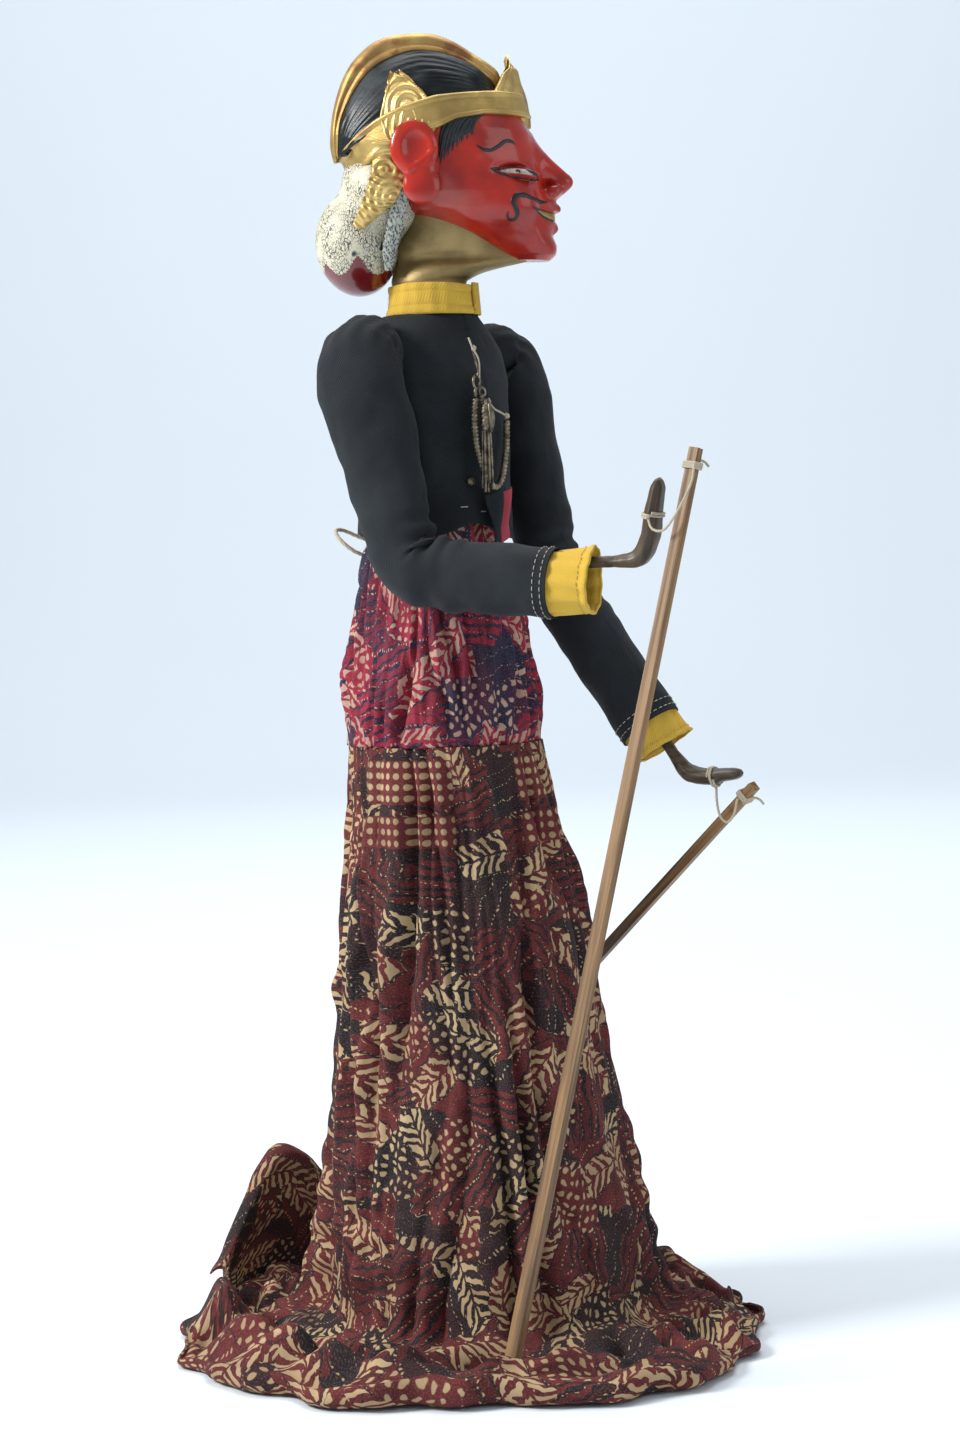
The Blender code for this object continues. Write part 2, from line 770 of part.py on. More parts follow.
def make_skirt_pool():
    """The last of the skirt, which lies spread out on the floor all round the stand."""
    count = 48
    foot = Vector((*skirt_middle(0), 0))
    turns = [math.tau * k / count for k in range(count)]
    headings = [Vector((math.cos(turn), math.sin(turn), 0)) for turn in turns]
    edges = [pool_edge(math.remainder(turn, math.tau)) for turn in turns]
    inner = SKIRT_FOOT_RADIUS - 0.006
    steps = ((-0.02, POOL_HEIGHT), (0.02, POOL_HEIGHT), (0.30, 0.0125), (0.93, 0.0105), (1.0, 0.0055))
    rings = []
    for share, height in (*steps, (0.94, 0.0)):
        middle = foot * (1 - max(share, 0)) + Vector((0, 0, height))
        rings.append(
            [
                middle + way * blended(SKIRT_FOOT_RADIUS, edge, share)
                for way, edge in zip(headings, edges)
            ]
        )
    rings.append([foot * 0.5 + way * (inner - 0.010) for way in headings])
    rings.append([foot * 0.9 + Vector((0, 0, 0.012)) + way * (inner - 0.006) for way in headings])
    return solid("skirt_pool", rings, finish("batik_red", BATIK, 0.9), hollow=True)


def make_hem_fold():
    """The stiff fold of hem that stands up behind the puppet's left."""
    look = finish("batik_red", BATIK, 0.9)
    count = 10
    near, far = [], []
    for k in range(count + 1):
        share = k / count
        turn = math.radians(58 + 62 * share)
        distance = 0.1225 + 0.006 * math.sin(7 * share)
        height = 0.030 + 0.055 * math.sin(math.pi * share) ** 0.7
        way = Vector((math.cos(turn), math.sin(turn), 0))
        near.append((way * (distance - 0.004), way * (distance - 0.003), height))
        far.append((way * (distance + 0.004), way * (distance + 0.003), height))
    foot = Vector((0, 0, 0.0134))
    rings = [
        [inner[0] + foot, outer[0] + foot, outer[1] + Vector((0, 0, top)), inner[1] + Vector((0, 0, top))]
        for inner, outer, top in ((a, b, a[2]) for a, b in zip(near, far))
    ]
    return solid("hem_fold", rings, look)


def make_sash_flap():
    """The red-lined end of the black sash that hangs at the jacket's front opening."""
    look = finish("red_lining", RED, 0.9)
    rings = [
        ring(Vector((-0.004, -0.0400, 0.4040)), Vector((0.0075, 0, 0)), Vector((0, 0.0007, 0)), 12),
        ring(Vector((-0.001, -0.0402, 0.4240)), Vector((0.0120, 0, 0)), Vector((0, 0.0007, 0)), 12),
    ]
    return solid("sash_flap", turned(rings, TORSO_YAW), look)


# ---------------------------------------------------------------- small pieces on the chest

CHEST = {
    "chain_long": (
        (-0.0150, -0.0402, 0.4740),
        (-0.0165, -0.0404, 0.4620),
        (-0.0150, -0.0406, 0.4480),
        (-0.0100, -0.0410, 0.4360),
        (-0.0040, -0.0410, 0.4300),
        (0.0020, -0.0410, 0.4340),
        (0.0065, -0.0405, 0.4480),
        (0.0080, -0.0403, 0.4630),
    ),
    "chain_short": (
        (-0.0110, -0.0402, 0.4760),
        (-0.0075, -0.0405, 0.4640),
        (-0.0060, -0.0406, 0.4500),
        (-0.0055, -0.0405, 0.4400),
    ),
}


def make_chains():
    look = finish("old_metal", METAL, 0.35, 1.0)
    chains = []
    for name, points in CHEST.items():
        place = Matrix.Rotation(TORSO_YAW, 4, "Z")
        chains.append(tube(name, [place @ Vector(point) for point in points], 0.0012, look))
    return chains


def make_chest_pin():
    """The ring that the chains and the charm hang from."""
    look = finish("old_metal", METAL, 0.35, 1.0)
    bpy.ops.mesh.primitive_torus_add(
        major_radius=0.0034, minor_radius=0.0008, major_segments=20, minor_segments=8
    )
    ring_piece = bpy.context.object
    ring_piece.name = "chest_ring"
    place = Matrix.Rotation(TORSO_YAW, 4, "Z") @ Matrix.Translation((-0.0125, -0.0380, 0.4822))
    ring_piece.data.transform(place @ Matrix.Rotation(math.radians(68), 4, "X"))
    ring_piece.data.shade_smooth()
    ring_piece.data.materials.append(look)
    return ring_piece


def make_tassel():
    look = finish("old_metal", METAL, 0.35, 1.0)
    rings = [
        level_ring(z, radius, 0.6 * radius, x=-0.0110, y=-0.0442, count=12)
        for z, radius in (
            (0.4280, 0.0030),
            (0.4550, 0.0029),
            (0.4590, 0.0038),
            (0.4700, 0.0022),
            (0.4740, 0.0008),
        )
    ]
    return solid("tassel_charm", turned(rings, TORSO_YAW), look)


def make_press_stud():
    place = Matrix.Rotation(TORSO_YAW, 4, "Z")
    return turned_piece(
        "press_stud",
        place @ Vector((-0.0130, -0.0330, 0.4330)),
        place @ Vector((0, -1, 0)),
        [(0.0, 0.0021), (0.0010, 0.0021), (0.0018, 0.0012)],
        finish("old_metal", METAL, 0.35, 1.0),
        count=12,
    )


WAIST_CORD = (
    (0.0130, 0.0372, 0.4020),
    (0.0080, 0.0430, 0.4030),
    (0.0000, 0.0500, 0.4070),
    (-0.0080, 0.0555, 0.4110),
    (-0.0150, 0.0550, 0.4105),
    (-0.0170, 0.0505, 0.4060),
    (-0.0140, 0.0450, 0.4005),
    (-0.0080, 0.0410, 0.3975),
    (-0.0020, 0.0392, 0.3960),
)


def make_waist_cord():
    return tube("waist_cord", WAIST_CORD, 0.0010, finish("string", STRING, 0.9))


# ---------------------------------------------------------------- joints


def pivot(name, place, parent=None):
    """An empty on a joint's axis."""
    empty = bpy.data.objects.new(name, None)
    empty.empty_display_size = 0.02
    bpy.context.scene.collection.objects.link(empty)
    empty.location = place
    if parent:
        empty.location = place - parent.matrix_world.translation
        empty.parent = parent
    bpy.context.view_layer.update()
    return empty


def ride(empty, pieces):
    """Parents the pieces to a joint's empty and leaves them where they are."""
    for piece in pieces:
        piece.parent = empty
        piece.matrix_parent_inverse = empty.matrix_world.inverted()


def make_arm(side, torso_pivot):
    swing = pivot(f"joint_shoulder_swing_{side}", shoulder(side), torso_pivot)
    ride(swing, [make_shoulder_cord(side)])
    lift = pivot(f"joint_shoulder_raise_{side}", shoulder(side), swing)
    ride(lift, [make_upper_arm(side), make_elbow_cord(side), make_upper_sleeve(side)])
    elbow = pivot(f"joint_elbow_{side}", ELBOWS[side], lift)
    ride(elbow, [make_forearm(side), make_lower_sleeve(side), make_cuff(side)])
    string = pivot(f"joint_string_{side}", Vector(HAND_STRINGS[side][0]), elbow)
    ride(string, [make_hand_string(side)])
    rod_pivot = pivot(f"joint_arm_rod_{side}", Vector(HAND_STRINGS[side][-1]), string)
    ride(rod_pivot, make_arm_rod(side))


def make_puppet():
    make_stand()
    make_lower_skirt()
    make_skirt_pool()
    make_hem_fold()
    head_pivot = pivot("joint_head_turn", Vector((0, 0, ROD_FOOT)))
    ride(head_pivot, [*make_central_rod(), make_head(), make_headdress()])
    turn_pivot = pivot("joint_torso_turn", Vector((0, 0, PEG_HEIGHT)))
    ride(turn_pivot, [make_washer()])
    torso_pivot = pivot("joint_torso_lift", Vector((0, 0, TORSO_FOOT)), turn_pivot)
    chest_pieces = [make_chest_pin(), make_tassel(), make_press_stud(), *make_chains()]
    clothes = [make_jacket(), make_collar(), make_upper_skirt(), make_sash_flap(), make_waist_cord()]
    ride(torso_pivot, [make_torso(), *clothes, *chest_pieces])
    for side in "RL":
        make_arm(side, torso_pivot)


clear_scene()
make_puppet()
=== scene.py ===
import json
import math

import bpy
import numpy as np
from mathutils import Matrix, Vector, noise
from mathutils.bvhtree import BVHTree


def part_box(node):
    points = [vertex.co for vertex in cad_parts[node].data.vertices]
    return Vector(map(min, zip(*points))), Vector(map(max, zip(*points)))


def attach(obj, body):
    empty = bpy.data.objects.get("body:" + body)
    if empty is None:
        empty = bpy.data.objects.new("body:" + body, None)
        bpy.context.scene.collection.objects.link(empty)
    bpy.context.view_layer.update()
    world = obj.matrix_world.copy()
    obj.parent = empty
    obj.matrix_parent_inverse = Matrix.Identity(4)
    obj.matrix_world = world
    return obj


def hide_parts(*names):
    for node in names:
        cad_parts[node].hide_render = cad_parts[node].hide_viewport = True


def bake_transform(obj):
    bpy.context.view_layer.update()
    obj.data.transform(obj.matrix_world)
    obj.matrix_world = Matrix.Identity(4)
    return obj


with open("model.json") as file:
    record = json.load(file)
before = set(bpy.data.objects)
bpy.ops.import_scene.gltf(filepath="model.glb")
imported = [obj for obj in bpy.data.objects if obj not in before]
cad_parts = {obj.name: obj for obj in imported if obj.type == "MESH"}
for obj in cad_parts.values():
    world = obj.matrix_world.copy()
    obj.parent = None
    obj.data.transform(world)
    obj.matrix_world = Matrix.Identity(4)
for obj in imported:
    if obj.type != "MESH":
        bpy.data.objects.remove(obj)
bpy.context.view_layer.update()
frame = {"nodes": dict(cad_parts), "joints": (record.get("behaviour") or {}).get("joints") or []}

# ---------------------------------------------------------------- driving dimensions, in metres

UP = np.array((0.0, 0.0, 1.0))
PHOTO_RIGHT = np.array((0.574, -0.819, 0.0))
TOWARD_CAMERA = np.array((-0.819, -0.574, 0.0))
HEAD_YAW = math.radians(35)
TORSO_YAW = math.radians(-7.2)
TORSO_Y = 0.003
COLLAR_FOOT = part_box("collar")[0].z
COLLAR_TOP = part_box("collar")[1].z
JACKET_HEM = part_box("jacket_body")[0].z
WAIST_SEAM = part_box("skirt_upper")[0].z
CLOTH = 0.0008
JOINTS = {joint["name"]: joint for joint in frame["joints"]}
PIVOTS = {name: np.array(joint["pos_m"]) for name, joint in JOINTS.items() if "pos_m" in joint}
SHOULDERS = {side: PIVOTS[f"shoulder_swing_{side}"] for side in "RL"}
ELBOWS = {side: PIVOTS[f"elbow_{side}"] for side in "RL"}
KNUCKLES = {"R": np.array((-0.030, -0.140, 0.392)), "L": np.array((0.063, -0.107, 0.280))}
FINGERTIPS = {"R": np.array((-0.030, -0.149, 0.430)), "L": np.array((0.069, -0.1335, 0.2825))}
CUFFS = {"R": (0.0706, 0.0966), "L": (0.0905, 0.1075)}
SLEEVE_DROP = {"R": 0.0090, "L": 0.0020}
ROD_ENDS = {
    "R": (np.array((-0.024, -0.166, 0.444)), np.array((-0.1070, -0.1030, 0.0205))),
    "L": (np.array((0.068, -0.141, 0.276)), np.array((0.1705, 0.192, 0.0035))),
}
ROD_WIDTH = 0.0058


# ---------------------------------------------------------------- small tools


def unit(vector):
    return vector / np.linalg.norm(vector)


def wave(values, low, high):
    """A smooth step from 0 at low to 1 at high."""
    share = np.clip((values - low) / (high - low), 0, 1)
    return share * share * (3 - 2 * share)


def hump(values, middle, width):
    """A bell of height 1."""
    return np.exp(-(((values - middle) / width) ** 2))


def circle(count, start=0.0):
    """Angles evenly spaced round a circle."""
    return start + np.linspace(0, math.tau, count, endpoint=False)


def wrapped(angle):
    """An angle in radians, brought to between minus and plus half a turn."""
    return (angle + math.pi) % math.tau - math.pi


def distances(path):
    """How far along a path each of its points lies."""
    return np.concatenate([[0], np.cumsum(np.linalg.norm(np.diff(path, axis=0), axis=1))])


def headings(path):
    """The way a path heads at each of its points."""
    heading = np.gradient(path, axis=0)
    return heading / np.linalg.norm(heading, axis=1, keepdims=True)


def rough(points, scale, seed=0.0):
    """Smooth noise from -1 to 1 at each point, with bumps about `scale` metres apart."""
    flat = np.asarray(points).reshape(-1, 3) / scale + seed * 17.3
    values = [noise.noise(Vector(p)) for p in flat]
    return np.array(values).reshape(np.asarray(points).shape[:-1])


def turned(points, yaw, y=0.0):
    """Points turned about the rod, then moved along y."""
    points = np.asarray(points, float)
    c, s = math.cos(yaw), math.sin(yaw)
    x = points[..., 0] * c - points[..., 1] * s
    other = points[..., 0] * s + points[..., 1] * c + y
    return np.stack([x, other, points[..., 2]], -1)


def head_space(points):
    """Head coordinates in millimetres (forward, sideways, up) as metres in the frame."""
    points = np.asarray(points, float) / 1000
    local = np.stack([points[..., 1], -points[..., 0], points[..., 2]], -1)
    return turned(local, HEAD_YAW)


def smooth_path(points, count):
    """A soft curve through the points, evenly spaced (Catmull-Rom)."""
    points = np.asarray(points, float)
    padded = np.vstack([2 * points[0] - points[1], points, 2 * points[-1] - points[-2]])
    line = []
    for k in range(len(points) - 1):
        a, b, c, d = padded[k : k + 4]
        for t in np.linspace(0, 1, 24, endpoint=False):
            square = (2 * a - 5 * b + 4 * c - d) * t**2
            cube = (3 * b - a - 3 * c + d) * t**3
            line.append(0.5 * (2 * b + (c - a) * t + square + cube))
    line = np.array(line + [points[-1]])
    steps = distances(line)
    places = np.linspace(0, steps[-1], count)
    return np.stack([np.interp(places, steps, line[:, k]) for k in range(line.shape[1])], -1)


def shown(name, points, faces, look, smooth=True):
    """A mesh object with one material."""
    mesh = bpy.data.meshes.new(name)
    mesh.from_pydata(
        np.asarray(points).tolist(), [], faces.tolist() if isinstance(faces, np.ndarray) else faces
    )
    mesh.update()
    mesh.polygons.foreach_set("use_smooth", [smooth] * len(mesh.polygons))
    obj = bpy.data.objects.new(name, mesh)
    bpy.context.scene.collection.objects.link(obj)
    mesh.materials.append(look)
    return obj


def grid_normals(points, closed):
    if closed:
        across = np.roll(points, -1, 1) - np.roll(points, 1, 1)
    else:
        across = np.gradient(points, axis=1)
    along = np.gradient(points, axis=0)
    normal = np.cross(along, across)
    return normal / np.maximum(np.linalg.norm(normal, axis=2, keepdims=True), 1e-12)


def grid_faces(rows, columns, closed, start=0, flip=False):
    """Quads over a grid, with each corner's (row, column) before wrapping."""
    wide = columns if closed else columns - 1
    r, c = np.meshgrid(np.arange(rows - 1), np.arange(wide), indexing="ij")
    r, c = r.ravel(), c.ravel()
    corners = np.stack([r, c], 1)[:, None] + np.array(((0, 0), (1, 0), (1, 1), (0, 1)))
    if flip:
        corners = corners[:, ::-1]
    faces = start + corners[..., 0] * columns + corners[..., 1] % columns
    return faces, corners


def pushed(points, lift, closed=True):
    """A sheet's points moved out along its normals."""
    return points + grid_normals(points, closed) * lift[..., None]


def sheet_uv(across, down):
    """Each point's place on the flat cloth in metres, from those of its columns and its rows."""
    return np.stack(np.broadcast_arrays(across, down[:, None]), -1)


def cloth(name, points, look, closed=True, thickness=CLOTH, uv=None, keep=None):
    """A sheet of cloth with two faces and bound edges. Rows run down and columns anticlockwise.
    uv is (rows, columns + 1 if closed) in metres. keep is the rows to build, with the whole sheet's
    normals."""
    points = np.asarray(points, float)
    normal = grid_normals(points, closed)
    if keep is not None:
        points, normal = points[keep], normal[keep]
        uv = None if uv is None else uv[keep]
    rows, columns = points.shape[:2]
    inner = points - normal * thickness
    count = rows * columns
    outside, corners = grid_faces(rows, columns, closed)
    inside, inner_corners = grid_faces(rows, columns, closed, count, True)
    faces, places = [outside, inside], [corners, inner_corners]

    def bind(row, column, step, flip):
        """Joins the two faces along an edge of the sheet."""
        near = np.stack(np.broadcast_arrays(row, column), 1)
        far = near + step
        a = near[:, 0] * columns + near[:, 1] % columns
        b = far[:, 0] * columns + far[:, 1] % columns
        quad = np.stack([a, b, b + count, a + count], 1)
        place = np.stack([near, far, far, near], 1)
        faces.append(quad[:, ::-1] if flip else quad)
        places.append(place[:, ::-1] if flip else place)

    along = np.arange(columns if closed else columns - 1)
    bind(0, along, (0, 1), False)
    bind(rows - 1, along, (0, 1), True)
    if not closed:
        downward = np.arange(rows - 1)
        bind(downward, 0, (1, 0), True)
        bind(downward, columns - 1, (1, 0), False)
    faces = np.concatenate(faces)
    places = np.concatenate(places)
    every = np.concatenate([points.reshape(-1, 3), inner.reshape(-1, 3)])
    obj = shown(name, every, faces, look)
    if uv is not None:
        layer = obj.data.uv_layers.new(name="cloth")
        layer.data.foreach_set("uv", uv[places[..., 0], places[..., 1]].astype(np.float32).ravel())
    return obj


def swept(name, path, reach, look):
    """A bar with closed ends along a path. reach is its radius at each point and angle."""
    heading = headings(path)
    sides = reach.shape[1]
    angles = np.arange(sides) * math.tau / sides
    side = unit(np.cross(heading[0], UP if abs(heading[0][2]) < 0.9 else (1.0, 0.0, 0.0)))
    rows = []
    for centre, ahead, radii in zip(path, heading, reach):
        side = unit(side - ahead * side.dot(ahead))
        other = np.cross(ahead, side)
        rows.append(
            centre + np.outer(radii * np.cos(angles), side) + np.outer(radii * np.sin(angles), other)
        )
    faces, _ = grid_faces(len(path), sides, True, flip=True)
    last = len(path) * sides
    points = np.vstack([np.array(rows).reshape(-1, 3), path[0], path[-1]])
    caps = []
    for k in range(sides):
        near = (k + 1) % sides
        caps.append([last, near, k])
        caps.append([last + 1, last - sides + k, last - sides + near])
    return shown(name, points, faces.tolist() + caps, look)


def tube(name, path, radii, look, sides=12):
    """A round bar along a path of points, with a radius at each."""
    path = np.asarray(path, float)
    radii = np.broadcast_to(np.asarray(radii, float), len(path))
    return swept(name, path, np.outer(radii, np.ones(sides)), look)


def joined(name, objects):
    """Several meshes as one object."""
    points, faces, starts, slots = [], [], 0, []
    looks = []
    for obj in objects:
        mesh = obj.data
        points += [tuple(obj.matrix_world @ v.co) for v in mesh.vertices]
        for slot in mesh.materials:
            if slot not in looks:
                looks.append(slot)
        for face in mesh.polygons:
            faces.append([starts + k for k in face.vertices])
            slots.append(looks.index(mesh.materials[face.material_index]))
        starts += len(mesh.vertices)
    for obj in objects:
        bpy.data.objects.remove(obj)
    made = shown(name, points, faces, looks[0])
    for slot in looks[1:]:
        made.data.materials.append(slot)
    made.data.polygons.foreach_set("material_index", slots)
    return made


def skin(field, low, high, step):
    """The surface where a field of signed distances is zero, as points and quads (surface nets)."""
    low = np.array(low, float)
    axes = [np.arange(a, b + step, step) for a, b in zip(low, high)]
    value = field(*np.meshgrid(*axes, indexing="ij"))
    cells = tuple(n - 1 for n in value.shape)
    count = np.zeros(cells)
    total = np.zeros(cells + (3,))
    for axis in range(3):
        sides = [k for k in range(3) if k != axis]
        for shift in ((0, 0), (0, 1), (1, 0), (1, 1)):
            pick = [slice(0, -1)] * 3
            for side, offset in zip(sides, shift):
                pick[side] = slice(offset, offset + cells[side])
            first = value[tuple(pick)]
            pick[axis] = slice(1, None)
            second = value[tuple(pick)]
            crossed = (first < 0) != (second < 0)
            share = np.where(crossed, first / np.where(crossed, first - second, 1), 0)
            total[..., axis] += share
            total[..., sides[0]] += shift[0] * crossed
            total[..., sides[1]] += shift[1] * crossed
            count += crossed
    filled = count > 0
    index = np.full(cells, -1)
    index[filled] = np.arange(filled.sum())
    points = (np.argwhere(filled) + total[filled] / count[filled][:, None]) * step + low
    quads = []
    for axis in range(3):
        one, two = [k for k in range(3) if k != axis]
        pick = [slice(1, -1)] * 3
        pick[axis] = slice(0, -1)
        first = value[tuple(pick)]
        pick[axis] = slice(1, None)
        second = value[tuple(pick)]
        for leaving in (True, False):
            found = np.argwhere((first < 0) & (second >= 0) if leaving else (first >= 0) & (second < 0))
            corners = []
            for a, b in ((0, 0), (1, 0), (1, 1), (0, 1)):
                cell = found.copy()
                cell[:, one] += a
                cell[:, two] += b
                corners.append(index[tuple(cell.T)])
            quad = np.stack(corners, 1)
            if leaving == (axis == 1):
                quad = quad[:, ::-1]
            quads.append(quad)
    return points, np.concatenate(quads)


def soft_union(a, b, width):
    share = np.clip(0.5 + 0.5 * (b - a) / width, 0, 1)
    return b + (a - b) * share - width * share * (1 - share)


def soft_cut(a, b, width):
    return -soft_union(-a, b, width)


def bead(u, s, z, centre, radii, lean=0.0):
    """Distance to an ellipsoid in head coordinates, tipped by lean in the (u, z) plane."""
    x, y, w = u - centre[0], s - centre[1], z - centre[2]
    c, k = math.cos(lean), math.sin(lean)
    x, w = x * c + w * k, w * c - x * k
    scaled = np.sqrt((x / radii[0]) ** 2 + (y / radii[1]) ** 2 + (w / radii[2]) ** 2)
    return (scaled - 1) * min(radii)


def bar(u, s, z, start, end, first, last):
    """Distance to a bar between two points whose radius changes."""
    a, b = np.array(start, float), np.array(end, float)
    way = b - a
    share = ((u - a[0]) * way[0] + (s - a[1]) * way[1] + (z - a[2]) * way[2]) / way.dot(way)
    share = np.clip(share, 0, 1)
    x, y, w = u - a[0] - share * way[0], s - a[1] - share * way[1], z - a[2] - share * way[2]
    return np.sqrt(x * x + y * y + w * w) - (first + (last - first) * share)


# ---------------------------------------------------------------- materials


class Look:
    """One material, and short names for its nodes."""

    def __init__(self, name, roughness=0.5, metallic=0.0):
        self.material = bpy.data.materials.new(name)
        self.material.use_nodes = True
        self.tree = self.material.node_tree
        self.shader = self.tree.nodes["Principled BSDF"]
        self.shader.inputs["Roughness"].default_value = roughness
        self.shader.inputs["Metallic"].default_value = metallic

    def node(self, kind, **settings):
        made = self.tree.nodes.new("ShaderNode" + kind)
        for key, value in settings.items():
            setattr(made, key, value)
        return made

    def feed(self, socket, value):
        if isinstance(value, bpy.types.NodeSocket):
            self.tree.links.new(value, socket)
        else:
            socket.default_value = value

    def place(self, kind="Object"):
        return self.node("TexCoord").outputs[kind]

    def math(self, operation, a, b=0.0, c=0.0):
        made = self.node("Math", operation=operation)
        for socket, value in zip(made.inputs, (a, b, c)):
            self.feed(socket, value)
        return made.outputs[0]

    def times(self, a, b):
        return self.math("MULTIPLY", a, b)

    def plus(self, a, b):
        return self.math("ADD", a, b)

    def greater(self, a, b):
        return self.math("MAXIMUM", a, b)

    def inverse(self, value):
        """1 less the value."""
        return self.math("SUBTRACT", 1.0, value)

    def waves(self, value, length):
        """A sine that repeats every length."""
        return self.math("SINE", self.times(value, 6.28 / length))

    def vector(self, operation, a, b=(0.0, 0.0, 0.0)):
        made = self.node("VectorMath", operation=operation)
        self.feed(made.inputs[0], a)
        self.feed(made.inputs[1], b)
        return made.outputs["Value" if operation in ("LENGTH", "DOT_PRODUCT") else "Vector"]

    def scaled(self, vector, x, y=None, z=None):
        made = self.node("Mapping")
        self.feed(made.inputs["Vector"], vector)
        made.inputs["Scale"].default_value = (x, x if y is None else y, x if z is None else z)
        return made.outputs[0]

    def noise(self, vector, scale, detail=3.0, output="Factor", distortion=0.0):
        made = self.node("TexNoise")
        self.feed(made.inputs["Vector"], vector)
        made.inputs["Scale"].default_value = scale
        made.inputs["Detail"].default_value = detail
        made.inputs["Distortion"].default_value = distortion
        return made.outputs[0 if output == "Factor" else 1]

    def cells(self, vector, scale, output="Distance", feature="F1"):
        made = self.node("TexVoronoi", feature=feature)
        self.feed(made.inputs["Vector"], vector)
        made.inputs["Scale"].default_value = scale
        return made.outputs[output]

    def step(self, value, low, high):
        made = self.node("MapRange", interpolation_type="SMOOTHSTEP")
        self.feed(made.inputs["Value"], value)
        made.inputs["From Min"].default_value = low
        made.inputs["From Max"].default_value = high
        return made.outputs[0]

    def mix(self, share, first, second):
        made = self.node("Mix", data_type="RGBA")
        self.feed(made.inputs[0], share)
        for socket, value in ((made.inputs[6], first), (made.inputs[7], second)):
            self.feed(socket, value if isinstance(value, bpy.types.NodeSocket) else (*value, 1.0))
        return made.outputs[2]

    def colour(self, value):
        self.feed(self.shader.inputs["Base Color"], value)

    def roughness(self, value):
        self.feed(self.shader.inputs["Roughness"], value)

    def bump(self, height, distance, strength=1.0, after=None):
        made = self.node("Bump")
        made.inputs["Strength"].default_value = strength
        made.inputs["Distance"].default_value = distance
        self.feed(made.inputs["Height"], height)
        if after is not None:
            self.feed(made.inputs["Normal"], after)
        self.feed(self.shader.inputs["Normal"], made.outputs[0])
        return made.outputs[0]


def red_lacquer():
    look = Look("red_lacquer", 0.2)
    place = look.place()
    patina = look.noise(place, 55.0, 4.0)
    deep = look.mix(look.step(patina, 0.35, 0.7), (0.46, 0.022, 0.010), (0.30, 0.014, 0.008))
    speck = look.step(look.noise(place, 700.0, 2.0), 0.70, 0.76)
    worn = look.step(look.noise(place, 28.0, 5.0), 0.58, 0.74)
    rubbed = look.mix(look.times(worn, 0.35), deep, (0.42, 0.11, 0.08))
    look.colour(look.mix(look.times(speck, 0.6), rubbed, (0.10, 0.02, 0.015)))
    look.roughness(look.plus(look.times(patina, 0.22), 0.13))
    look.shader.inputs["Specular IOR Level"].default_value = 0.35
    look.shader.inputs["Coat Weight"].default_value = 0.45
    look.shader.inputs["Coat Roughness"].default_value = 0.10
    look.bump(look.noise(place, 90.0, 3.0), 0.0006, 0.35)
    return look.material


def dark_red_lacquer():
    look = Look("dark_red_lacquer", 0.22)
    place = look.place()
    patina = look.noise(place, 60.0, 4.0)
    look.colour(look.mix(patina, (0.20, 0.008, 0.010), (0.11, 0.006, 0.008)))
    look.shader.inputs["Coat Weight"].default_value = 0.6
    look.bump(patina, 0.0005, 0.3)
    return look.material


def gold(name, bright, dull, roughness, wear=0.5, wear_colour=(0.20, 0.07, 0.03), ripples=0.0):
    look = Look(name, roughness, 0.75)
    place = look.place()
    cloudy = look.noise(place, 45.0, 4.0)
    base = look.mix(look.step(cloudy, 0.35, 0.65), bright, dull)
    rub = look.step(look.noise(place, 75.0, 6.0), 0.60 - 0.1 * wear, 0.70)
    look.colour(look.mix(look.times(rub, wear), base, wear_colour))
    look.roughness(look.plus(look.times(cloudy, 0.3), roughness - 0.12))
    fine = look.noise(look.scaled(place, 1.0, 1.0, 4.0), 240.0, 3.0)
    look.bump(fine, 0.0004, 0.4 + ripples)
    return look.material


def black_lacquer():
    look = Look("black_lacquer", 0.38)
    place = look.place()
    sheen = look.step(look.noise(place, 38.0, 4.0), 0.42, 0.7)
    look.colour(look.mix(look.times(sheen, 0.7), (0.006, 0.008, 0.009), (0.050, 0.060, 0.066)))
    look.shader.inputs["Specular IOR Level"].default_value = 0.25
    look.roughness(look.plus(look.times(sheen, 0.25), 0.28))
    look.bump(look.noise(look.scaled(place, 1.0, 1.0, 5.0), 160.0, 3.0), 0.0004, 0.35)
    return look.material


def flecked_hair():
    """Cream paint with short black strokes, over dark red at the foot of the bun."""
    look = Look("flecked_hair", 0.5)
    place = look.place()
    bent = look.vector(
        "ADD", place, look.vector("MULTIPLY", look.noise(place, 120.0, 2.0, "Color"), (0.006,) * 3)
    )
    strokes = look.cells(look.scaled(bent, 1.0, 1.0, 0.45), 900.0, "Distance", "DISTANCE_TO_EDGE")
    thin = look.inverse(look.step(strokes, 0.03, 0.13))
    patch = look.step(look.noise(place, 110.0, 3.0), 0.36, 0.56)
    flecks = look.times(thin, look.plus(look.times(patch, 0.85), 0.15))
    blot = look.step(look.noise(place, 75.0, 2.0), 0.66, 0.70)
    flecks = look.greater(flecks, blot)
    yellowed = look.mix(look.noise(place, 60.0, 3.0), (0.60, 0.55, 0.38), (0.70, 0.66, 0.52))
    look.colour(look.mix(flecks, yellowed, (0.03, 0.04, 0.04)))
    look.bump(strokes, 0.0003, 0.4)
    return look.material


def speckled_grey():
    look = Look("speckled_grey", 0.55)
    place = look.place()
    strokes = look.cells(look.scaled(place, 1.0, 1.0, 0.6), 1000.0)
    look.colour(look.mix(look.step(strokes, 0.3, 0.55), (0.05, 0.06, 0.065), (0.40, 0.42, 0.36)))
    look.bump(strokes, 0.0003, 0.4)
    return look.material


